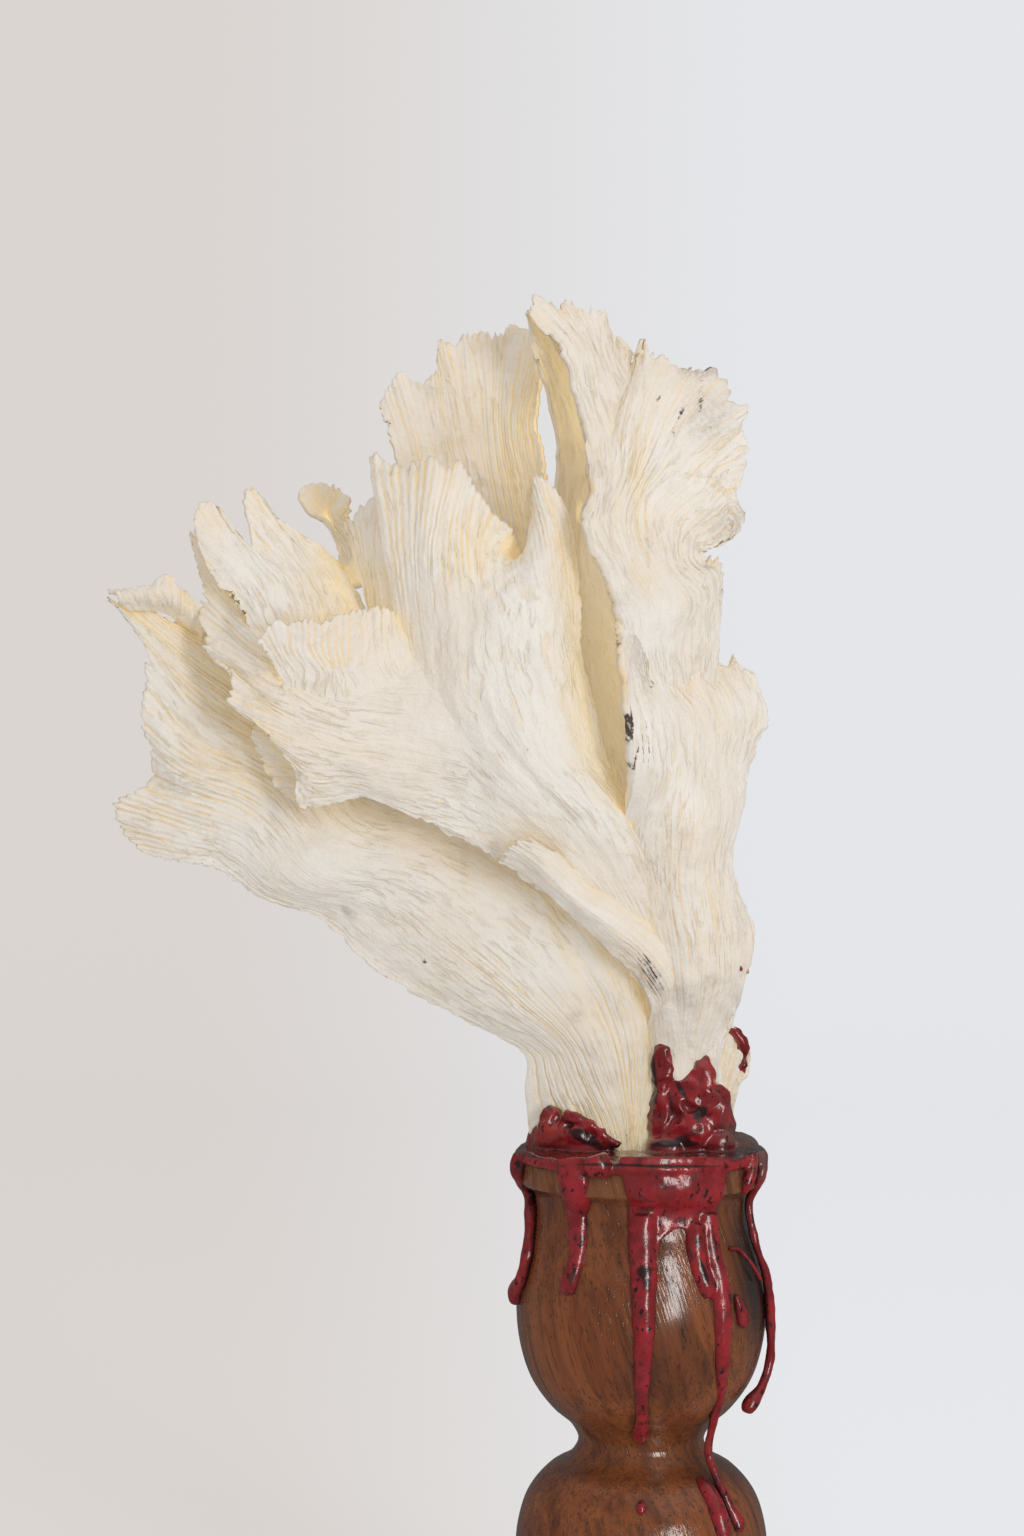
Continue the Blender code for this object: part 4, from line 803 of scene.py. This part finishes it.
def growFrond(name, look, seed, material):
    ridges, steps = look["ridges"], growth["columns"]
    share = np.array([i + s for i in range(ridges) for s in steps] + [ridges]) / ridges
    u0, v0 = np.meshgrid(share, evenly(look["lines"]))
    along = evenly(growth["sheetTall"])
    fine = loftRows(look["rows"], evenly(growth["sheetWide"]), along)

    def swing(across, lengthwise, number):
        return drift(u0, v0, (across, lengthwise), seed + number)

    # the ridges wander
    inside = np.sin(pi * u0)
    u = u0 + inside * (0.02 * swing(5, 4, 1) + 0.007 * swing(18, 9, 2) + 0.2 / ridges * swing(ridges, 7, 12))
    width = np.interp(v0, along, np.linalg.norm(np.diff(fine, axis=1), axis=2).sum(axis=1))
    tall = np.linalg.norm(np.diff(fine[:, growth["sheetWide"] // 2], axis=0), axis=1).sum()
    # both sides are finely torn
    for side, away in ((1, u0), (-1, 1 - u0)):
        teeth = np.abs(drift(u0 * 0, v0, (1, int(tall / growth["tooth"])), seed + 13 + side))
        tears = drift(u0 * 0, v0, (1, int(tall / growth["tear"])), seed + 16 + side)
        torn = look["fray"] * (teeth + 0.8 * easeIn(tears, 0.2, 0.8)) / width
        u += side * torn * np.exp(-away * width / growth["tornIn"]) * easeIn(v0, 0.1, 0.3)
    u, fans = drawTogether(look["pits"], fine, u0, v0, u)
    x, z = shownFrom(readGrid(fine, u, v0))

    # how strongly the surface is grooved: little in the body, most at the rim and in the fans
    uneven = swing(9, 7, 3)
    atRim = easeIn(v0 + 0.1 * swing(11, 2, 4), look["rim"] - 0.12, look["rim"] + 0.14)
    zone = look["body"] + stampMarks(look["grooved"], x, z) * (0.75 + 0.4 * uneven) + 0.12 * uneven
    zone = np.clip(np.maximum.reduce([zone, atRim * (0.75 + 0.35 * uneven), fans]), 0.02, 1.1)
    alive = grooveField(width[:, :1], ridges, np.random.default_rng(seed))
    order = np.arange(len(share))
    nearest = np.round((order + 0.01) / len(steps)).astype(int)
    crest = np.array(growth["crests"])[order % len(steps)]
    groove = alive[:, nearest] * (1 - crest) * zone * look["cut"]

    # the rim is notched at the grooves and broken here and there
    flat = share * 0
    notch = growth["nick"] * (1 - crest) * alive[-1, nearest]
    notch += growth["chip"] * np.abs(drift(share, flat, (ridges, 1), seed + 5))
    notch += growth["breakOff"] * easeIn(drift(share, flat, (ridges // 2, 1), seed + 6), 0.3, 0.9)
    grid = readGrid(fine, u, v0 - notch * look["notch"] / tall * v0**10)
    normals = gridNormals(grid)
    x, z = shownFrom(grid)

    # short scales, each rising to a lip and dropping behind it
    climb = (v0 * growth["scaleRows"] + 1.3 * swing(12, 3, 7)) % 1
    rise = look["scales"] * climb**2 * (1 - easeIn(climb, 0.8, 1))
    rise *= easeIn(cloud(grid, 11, seed + 8), 0, 0.6)
    folds, foldRise = look["folds"]
    rise += np.cos(pi * u0 * folds) * foldRise * np.minimum(1, 0.25 + v0) - look["depth"] * groove
    rise += look["ruffle"] * v0**2 * (swing(14, 4, 9) + 0.5 * swing(30, 8, 10))
    rise += sum(height * cloud(grid, size, seed + size) for size, height in look["bumps"])
    rise += stampMarks(look["relief"], x, z) - look["tuck"] * (1 - easeIn(v0, 0, look["tuckLength"]))

    piece = layWall(name, look["wall"], grid)
    mesh = piece.data
    soot = stampMarks(look["soot"], x, z) + stampMarks(look["sootLines"], x, z) * (crest == 0)
    # the groove field also says where the grooves' painted golden glow goes
    addField(mesh, "groove", groove)
    addField(mesh, "across", u0 * width.mean())
    addField(mesh, "lengthwise", v0 * tall)
    addField(mesh, "dirt", np.clip(soot, 0, 1))
    addField(mesh, "smudge", np.clip(stampMarks(look["smudge"], x, z), 0, 1))
    applyAll(piece)

    # both faces of the wall rise and sink together, and the golden marks, partly the coral's tint and partly
    # painted glow, are faint on the back one
    faces = readPoints(mesh).reshape(2, -1, 3)
    writePoints(mesh, (normals * rise[..., None] * mm).reshape(1, -1, 3) + faces)
    ochreAndGlow = np.clip(stampMarks(look["ochreAndGlow"], x, z), -0.12, 1.8)
    back = np.argmax(faces[:, :, 1].mean(axis=1))
    addField(mesh, "ochreAndGlow", [ochreAndGlow * (growth["backOchreAndGlow"] if face == back else 1) for face in (0, 1)])
    finishPiece(piece, nodeOf(name), material)


stem = {
    "rings": [(184, 16.5, 6, 11.5, 10), (205, 16, 6, 10.5, 9.5), (220, 15, 5, 9.5, 9),
              (234, 14.5, 3, 9.5, 8.5), (246, 14.5, 1, 8.5, 7.5), (256, 15, 0, 6, 6),
              (260, 15, 0, 2.5, 2.5)],
    "sides": 96, "levels": 90, "folds": 7, "foldDepth": 0.07, "ribs": 26, "ribDepth": 0.03, "round": 66,
    "tall": 76, "soot": [(4, 214, 1.2, 9, 8, 0.8)],
    "smudge": [(12, 243, 3, 6, 30, 0.7), (20, 236, 4, 2.5, 40, 0.5), (22, 228, 3, 2, 60, 0.4)], "seed": 31,
}


# the rings are (z, x, y, half width, half depth)
def growStem(material):
    levels = np.linspace(1, 0, stem["levels"])
    piece = turnOutline("stem", [(1 / mm, level / mm) for level in levels], stem["sides"])
    rings = np.array(stem["rings"], dtype=float)
    mesh = piece.data
    x, y, level = readPoints(mesh).T
    reach, angle = np.hypot(x, y), np.arctan2(y, x)
    laid = smoothCurve(evenly(len(rings) - 1), rings, level)
    turn = angle / (2 * pi) + 0.5
    slow, quick = drift(turn, level, (3, 5), stem["seed"]), drift(turn, level, (4, 6), stem["seed"] + 1)
    fold = 1 + stem["foldDepth"] * np.cos(stem["folds"] * angle + 2 * slow)
    fold += stem["ribDepth"] * np.cos(stem["ribs"] * angle + 3 * quick)
    fold *= reach
    laid[:, 0] = np.maximum(laid[:, 0], coralFloor / mm)
    placed = np.stack([laid[:, 1] + laid[:, 3] * fold * np.cos(angle),
                       laid[:, 2] + laid[:, 4] * fold * np.sin(angle), laid[:, 0]], axis=1)
    writePoints(mesh, placed * mm)
    x, z = shownFrom(placed)
    # the ribs' grooves take the same painted golden glow
    addField(mesh, "groove", np.clip(0.5 - 0.5 * np.cos(stem["ribs"] * angle), 0, 1) * 0.3)
    addField(mesh, "across", turn * stem["round"])
    addField(mesh, "lengthwise", level * stem["tall"])
    addField(mesh, "dirt", stampMarks(stem["soot"], x, z))
    addField(mesh, "smudge", stampMarks(stem["smudge"], x, z))
    finishPiece(piece, "trunk", material)


standLook = {
    "steps": 128, "topRadius": 38.8, "band": 8.4, "bulbRadius": 39.9, "upperBulb": 138.0, "bulbStep": 76.0,
    "neckRadius": 20.0, "neckDrop": 41, "footEdge": 9.0, "finePoints": 119, "sightSteps": 14,
}


# turns an outline of (radius, z), in millimetres, into a solid about the upright axis
def turnOutline(name, outline, steps):
    closed = [(0, outline[0][1]), *outline, (0, outline[-1][1])]
    piece = drawLine(name, [(radius, 0, z) for radius, z in closed])
    lathe = piece.modifiers.new("lathe", "SCREW")
    lathe.steps = lathe.render_steps = steps
    lathe.use_merge_vertices = True
    lathe.merge_threshold = 0.00001
    lathe.use_normal_calculate = True
    lathe.use_smooth_shade = True
    applyAll(piece)
    return piece


# the stand's outline from the top of its rim to its underside, as (radius, z)
def standOutline():
    top = standHigh.z / mm
    rim, bulb = standLook["topRadius"], standLook["bulbRadius"]
    foot = (standHigh.x - standLow.x) / 2 / mm
    low = top - standLook["band"]
    upper, edge = standLook["upperBulb"], standLook["footEdge"]
    hard = [(rim - 0.8, top), (rim, top - 0.8), (rim, low + 1.2), (rim - 0.5, low + 0.3), (rim - 1.6, low)]
    neck = (standLook["neckRadius"], upper - standLook["neckDrop"])
    lowerBulb = (bulb + 0.3, upper - standLook["bulbStep"])
    soft = [(34.4, low - 2.2), (34.0, low - 6), (34.8, 167), (37, 160), (39.2, 149), (bulb, upper),
            (38.6, 127), (35.3, 117), (28.5, 107.5), (21.9, 101.5), neck, (22.2, 92.6), (29.5, 88),
            (36.3, 80), (39.3, 71), lowerBulb, (38, 49), (31, 37), (24.5, 29.5), (23.2, 26), (25.5, 22.5),
            (38, 16.5), (foot - 3, edge + 2.4)]
    rounded = [(foot - 0.8, edge + 0.6), (foot, edge - 1), (foot, 1.6), (foot - 0.5, 0.5), (foot - 1.6, 0)]
    soft = np.array(soft)
    drawn = smoothCurve(runningLength(soft), soft, evenly(standLook["finePoints"]))
    return hard + [tuple(point) for point in drawn] + rounded


outlineTable = np.array(standOutline())


# the spot on the front of the wood that shows at (x, z), so far off it
def onWood(x, z, lift):
    y = 0.0
    for _ in range(standLook["sightSteps"]):
        trueX, _, trueZ = alongSight((x, y, z))
        radius = np.interp(-trueZ, -outlineTable[:, 1], outlineTable[:, 0]) + lift
        y = -sqrt(max(radius**2 - trueX**2, 0.0))
    reach = sqrt(trueX**2 + y**2) / radius
    return trueX / reach, y / reach, trueZ


# each run is a line of (x, z, half its width), with y where it hangs clear of the wood
runs = {
    "leftEdge": [(-38, 188, 2.8), (-39, 182, 2.8), (-36.6, 175.5, 2.5), (-35.2, 167, 2.2), (-36.4, 156, 2),
                 (-38.4, 148, 2.1), (-40, 143.4, 3), (-40.2, 140.8, 2)],
    "leftFront": [(-20.5, 186, 7), (-20.5, 178, 6), (-19.8, 170, 4.4), (-19.6, 162, 3.8), (-20.6, 153, 2.9),
                  (-22.6, 145.5, 3.1), (-23, 142.6, 1.9)],
    "lobe": [(-14.8, 187.4, 3.6, -37), (-13.8, 183.4, 4.2, -37.4), (-14, 180.8, 3.2, -37)],
    "leftLeg": [(0.6, 168, 5), (0.6, 158, 4.6), (0.8, 145, 4.3), (0.8, 130, 3.4), (0.3, 115, 2.5),
                (0.3, 104, 2.1), (-0.1, 98.5, 3), (-0.2, 95.8, 1.6)],
    "shortLeg": [(17, 165, 3.6), (17.2, 156.5, 3.3), (18.8, 149.5, 3), (20.6, 144.4, 2.9),
                 (21.2, 141.6, 1.5)],
    "rightLeg": [(20.3, 168, 4.4), (22.2, 157, 3.2), (24.6, 147, 3.6), (25.4, 135, 3.7), (25.6, 120, 2.8),
                 (24.8, 109, 1.9, -23), (22.8, 101, 1.4, -21), (21.6, 92, 1.4, -20), (24, 84.5, 1.3, -22),
                 (28, 75, 1.7), (30.5, 69.8, 2.6), (31, 67, 1.4)],
    "short": [(35.4, 188, 2.2), (35, 182, 2.3), (33.8, 177.5, 2), (32.6, 175, 1.1)],
    "farRight": [(38.6, 188, 2), (38.4, 181, 2), (34.4, 172, 1.5), (36.4, 160, 1.4), (40, 149, 1.5),
                 (41.4, 136, 1.7), (41.3, 123, 1.6, -5), (38.8, 113.5, 1.8, -8), (34.8, 107.5, 2.7, -11),
                 (34, 104.8, 1.5, -11)],
}
drops = {
    "waxTear": [(30.3, 142.5, 0.9), (31.2, 139, 1.9), (32.3, 134.6, 2.7), (32.5, 132.4, 1.6)],
    "waxThread": [(28.2, 157.5, 0.7), (31.4, 157, 0.7), (35.4, 152.5, 0.7), (38.4, 147.4, 0.7)],
    "waxBlob": [(18.6, 84, 1.6), (20.8, 80.3, 2.8), (23, 76, 3.2), (24.6, 71, 3.5), (26, 66, 3),
                (26.6, 62.5, 1.5)],
    "waxBead": [(0.3, 77, 0.8), (0.1, 74.4, 1.5), (0, 72.4, 0.8)],
}


def pourRun(name, points):
    laid = []
    for x, z, radius, *hanging in points:
        # a run stands proud of the wood by less than its width, and by more at the sides
        lift = min(1.7 * radius, 1.4 + 0.35 * radius) - radius + 1.4 * float(easeIn(abs(x), 31, 36))
        spot = alongSight((x, hanging[0], z)) if hanging else onWood(x, z, lift)
        laid.append((*spot, max(radius, waxLook["thinnest"])))
    places = evenly(waxLook["runSteps"] * len(points) - 1)
    return drawLine(name, smoothCurve(evenly(len(points) - 1), np.array(laid), places))


# the sheet of wax over the band, down to the arch between its two legs, as rows of (x, z)
waxSheet = {
    "rows": [[(-6.6, 187), (4, 187), (16, 187), (27.4, 187)],
             [(-6.4, 181), (4, 181), (16, 181), (27.2, 181)],
             [(-5, 175.5), (4, 175.5), (15, 175.5), (26, 175.5)],
             [(-4, 170), (4, 170), (14, 170), (24, 170)],
             [(-4, 163), (2, 163.4), (8, 166), (12, 167), (16, 166), (24, 163)],
             [(-3.8, 152), (3.6, 154), (6.6, 160.5), (12, 163.6), (15, 162), (24.4, 152)]],
    "wall": 2.4, "wide": 48, "tall": 40,
}


def hangSheet():
    rows = [np.array([onWood(x, z, 0.1) for x, z in row]) for row in waxSheet["rows"]]
    lines = [smoothCurve(evenly(len(row) - 1), row, evenly(waxSheet["wide"])) for row in rows]
    piece = layGrid("sheet", loftLines(lines, evenly(waxSheet["tall"])), waxSheet["wall"])
    applyAll(piece)
    return piece


# lumps of wax: (x, y, z, half width, half depth, half height)
lumps = [
    # against the right stem
    (7.2, -4, 214, 4, 4.5, 12), (6.5, -3.5, 199, 4.5, 5.5, 14), (12, -4.5, 204, 6.5, 5, 9.5),
    (16, -5, 207, 6, 4.5, 8), (20.2, -5, 209, 3.7, 4.2, 10.8), (18.5, -4.6, 211, 3.2, 3.6, 7.6),
    (23, -5, 202, 6, 6, 9), (26.3, -2, 199, 4, 6, 7), (16, -6, 195, 9, 6, 9), (24, -6, 192, 6, 6, 5),
    (8, -7, 191, 7, 6, 4), (10, -3, 214, 3, 3, 5),
    # against the left stem
    (-28.4, -3, 195, 4.6, 5.5, 8.4), (-24, -5, 194, 5.5, 5, 7), (-30.5, 0, 192, 4.6, 6, 6),
    (-16, -8, 190.5, 8, 4, 3.6), (-19, -8.6, 195, 5, 3.4, 4.4), (-13, -9.6, 192.4, 4.8, 3, 3),
    (-33, 6, 191, 4, 7, 5),
    # the cap's risen back, and a spot thrown up onto the coral
    (31, 12, 188.6, 8, 12, 4.4), (31.4, -8, 247.8, 1.2, 1.6, 1.7),
]
# thin strips of wax: (x, z, y, half their width)
strips = [
    [(-25, 200.4, -8, 1.7), (-20, 199, -9.4, 1.8), (-16, 196.8, -10.6, 1.7), (-12, 194, -11.4, 1.5),
     (-7, 190.4, -12, 1.2)],
    [(28, 227.6, 9, 1.2), (30.4, 226.4, 9.4, 1.6), (32.4, 223.4, 9.8, 1.8), (33.2, 219.6, 10.4, 1.7),
     (32.4, 216, 10.8, 1.4), (32.6, 212.8, 11, 1)],
]
waxLook = {
    "top": 190.0, "radius": 40.4, "lip": 3.7, "steps": 160, "voxel": 0.57, "smoothing": 5,
    "dropVoxel": 0.4, "dropSmoothing": 3, "pucker": [(7, 0.42), (2.6, 0.16)], "creaseSize": 5.5,
    "crease": 0.55, "thinnest": 0.2, "runSteps": 12,
}
waxMarks = {
    "dirt": [(13, 166.5, 3, 2, 20, 0.6), (1, 150, 3, 2.6, 0, 0.9), (2, 146, 2.6, 2, 0, 0.6),
             (20, 150, 1.2, 5, 20, 1.0), (-17, 165, 1, 5, 10, 0.8), (3.5, 212, 1.6, 12, 4, 1.0),
             (11, 191, 10, 1.4, 0, 1.0), (-18, 193, 6, 2.4, -25, 1.0), (13, 208, 1.2, 5, 30, 0.8),
             (19, 201, 3, 2.2, 30, 0.9), (-12, 184.4, 14, 0.6, 0, 0.7), (12, 183.8, 18, 0.6, 0, 0.8),
             (33, 188.2, 7, 1.2, 10, 0.9), (-33, 187, 4, 0.7, 0, 0.7), (15.5, 194, 6, 1.6, 20, 0.6),
             (9.5, 204, 1, 8, 10, 0.6), (27.5, 176, 0.9, 10, 0, 0.6), (23, 162, 0.8, 8, 15, 0.6)],
    "orange": [(-30, 194, 6, 7, 0, 0.9), (24, 214, 3, 7, 0, 0.7), (-5, 187, 30, 3, 0, 0.35),
               (20, 206, 4, 6, 20, 0.4)],
    "thin": [(33, 193, 8, 4, -20, 0.9), (39, 186, 2, 8, 0, 0.6)],
}


def roundLump(x, y, z, wide, deep, high):
    bpy.ops.mesh.primitive_uv_sphere_add(segments=32, ring_count=20, radius=mm, scale=(wide, deep, high),
                                         location=(x * mm, y * mm, z * mm))
    piece = bpy.context.object
    bpy.ops.object.transform_apply(location=True, rotation=True, scale=True)
    return piece


def pourCap():
    top, radius, lip = waxLook["top"], waxLook["radius"], waxLook["lip"]
    outline = [(radius - 5, top - 0.3), (radius - 2, top), (radius - 0.7, top - 0.6), (radius, top - 1.8),
               (radius, top - lip + 1), (radius - 0.6, top - lip), (radius - 6, top - lip - 0.6)]
    return turnOutline("waxCap", outline, waxLook["steps"])


# melts the pieces together and softens where they meet
def meltTogether(pieces, name, voxel, smoothing):
    pickOnly(*pieces)
    if len(pieces) > 1:
        bpy.ops.object.join()
    piece = bpy.context.object
    piece.name = piece.data.name = name
    melt = piece.modifiers.new("melt", "REMESH")
    melt.mode = "VOXEL"
    melt.voxel_size = voxel * mm
    soften = piece.modifiers.new("soften", "SMOOTH")
    soften.factor = 0.5
    soften.iterations = smoothing
    applyAll(piece)
    return piece


# puckers the wax along its normals, by noise of a few sizes, and creases the mounds into facets
def puckerWax(mesh):
    places, normals = readPoints(mesh), readPoints(mesh, "normal")
    spots = [Vector(place) for place in places / mm]
    rise = [sum(height * noise.noise(spot / size) for size, height in waxLook["pucker"]) for spot in spots]
    creased = [1 - 4 * abs(noise.noise(spot / waxLook["creaseSize"])) for spot in spots]
    high = easeIn(places[:, 2] / mm, waxLook["top"] + 1, waxLook["top"] + 5)
    rise = np.array(rise) + waxLook["crease"] * np.array(creased) * high
    places += normals * rise.astype(np.float32)[:, None] * mm
    writePoints(mesh, places)
    return places / mm


def pourWax(material):
    pieces = [pourCap(), hangSheet()]
    pieces += [pourRun(name, points) for name, points in runs.items()]
    pieces += [roundLump(*lump) for lump in lumps]
    for strip in strips:
        pieces.append(drawLine("strip", [(*alongSight((x, y, z)), radius) for x, z, y, radius in strip]))
    wax = meltTogether(pieces, "pouredWax", waxLook["voxel"], waxLook["smoothing"])
    x, z = shownFrom(puckerWax(wax.data))
    for field, marks in waxMarks.items():
        addField(wax.data, field, np.clip(stampMarks(marks, x, z), 0, 1))
    finishPiece(wax, "wax", material)
    for name, points in drops.items():
        drop = meltTogether([pourRun(name, points)], name, waxLook["dropVoxel"], waxLook["dropSmoothing"])
        for field in waxMarks:
            addField(drop.data, field, np.zeros(len(drop.data.vertices)))
        finishPiece(drop, nodeOf(name), material)


studio = {
    "bowl": 3.2, "bowlHeight": 3.0, "round": 1.4, "steps": 96, "paint": (0.5, 0.5, 0.5, 1),
    "glowLeft": (0.655, 0.584, 0.547, 1), "glowRight": (0.83, 0.86, 0.935, 1), "glowStrength": 0.465,
    "glowAcross": (-0.13, 0.09), "eyeAway": 1.0, "nearest": 0.3,
    "sky": (1.0, 0.987, 0.965, 1), "skyStrength": 0.76, "skyInGloss": 0.1,
    "lights": {
        "window": {"at": (0.75, -1.4, 0.42), "size": (0.34, 0.8), "power": 7.1, "tint": (1.0, 0.98, 0.95)},
        "overhead": {"at": (0.6, -0.4, 1.9), "size": (1.8, 1.8), "power": 2.4, "tint": (1.0, 0.99, 0.97)},
    },
    "lens": 70, "filmHeight": 36, "clip": 0.02,
}


def buildStage():
    wide, tall, bend = studio["bowl"], studio["bowlHeight"], studio["round"]
    curve = [(wide - bend + bend * sin(a), bend - bend * cos(a)) for a in evenly(16) * pi / 2]
    outline = [(radius / mm, z / mm) for radius, z in [(0.01, 0), *curve, (wide, tall)]]
    stage = turnOutline("studioBowl", outline, studio["steps"])
    made, tree, shader, place = newMaterial("studio_paint")
    spot = addNode(tree, "SeparateXYZ", {0: place}).outputs
    away = reckon(tree, "MAXIMUM", plus(tree, spot[1], studio["eyeAway"]), studio["nearest"])
    toRight = spread(tree, reckon(tree, "DIVIDE", spot[0], away), *studio["glowAcross"])
    glow = mixColours(tree, toRight, studio["glowLeft"], studio["glowRight"])
    plugIn(tree, shader, {
        "Base Color": studio["paint"], "Roughness": 0.9, "Specular IOR Level": 0.1,
        "Emission Color": glow, "Emission Strength": studio["glowStrength"]})
    stage.data.materials.append(made)
    stage.visible_shadow = stage.visible_glossy = stage.visible_diffuse = False


def setLights():
    world = bpy.data.worlds.new("studio")
    bpy.context.scene.world = world
    world.use_nodes = True
    tree = world.node_tree
    glossy = addNode(tree, "LightPath", {}).outputs["Is Glossy Ray"]
    plugIn(tree, tree.nodes["Background"], {
        "Color": studio["sky"],
        "Strength": spread(tree, glossy, 0, 1, studio["skyStrength"], studio["skyInGloss"])})
    middle = (cadBox[0] + cadBox[1]) / 2
    for name, look in studio["lights"].items():
        bpy.ops.object.light_add(type="AREA", location=look["at"])
        lamp = bpy.context.object
        lamp.name = name
        lamp.data.shape = "RECTANGLE"
        lamp.data.size, lamp.data.size_y = look["size"]
        lamp.data.energy = look["power"]
        lamp.data.color = look["tint"]
        lamp.rotation_euler = (middle - lamp.location).to_track_quat("-Z", "Y").to_euler()


def setCamera():
    bpy.ops.object.camera_add(location=(layout["eyeX"] * mm, -layout["eyeAway"] * mm, layout["eyeZ"] * mm),
                              rotation=(radians(90), 0, 0))
    camera = bpy.context.object
    camera.data.lens = studio["lens"]
    camera.data.sensor_fit = "VERTICAL"
    camera.data.sensor_height = studio["filmHeight"]
    camera.data.clip_start = studio["clip"]
    bpy.context.scene.camera = camera


def main():
    bpy.context.scene.view_settings.view_transform = "Standard"
    setCamera()
    coral, wood, wax = makeLimestone(), makeHardwood(), makeRedWax()
    finishPiece(turnOutline("turnedStand", standOutline(), standLook["steps"]), "stand", wood)
    print("stand turned")
    pourWax(wax)
    print("wax poured")
    growStem(coral)
    for seed, (name, look) in enumerate(fronds.items(), 11):
        growFrond(name, {**plainFrond, **look}, seed, coral)
    print("coral grown")
    buildStage()
    setLights()
    print("studio set")


main()
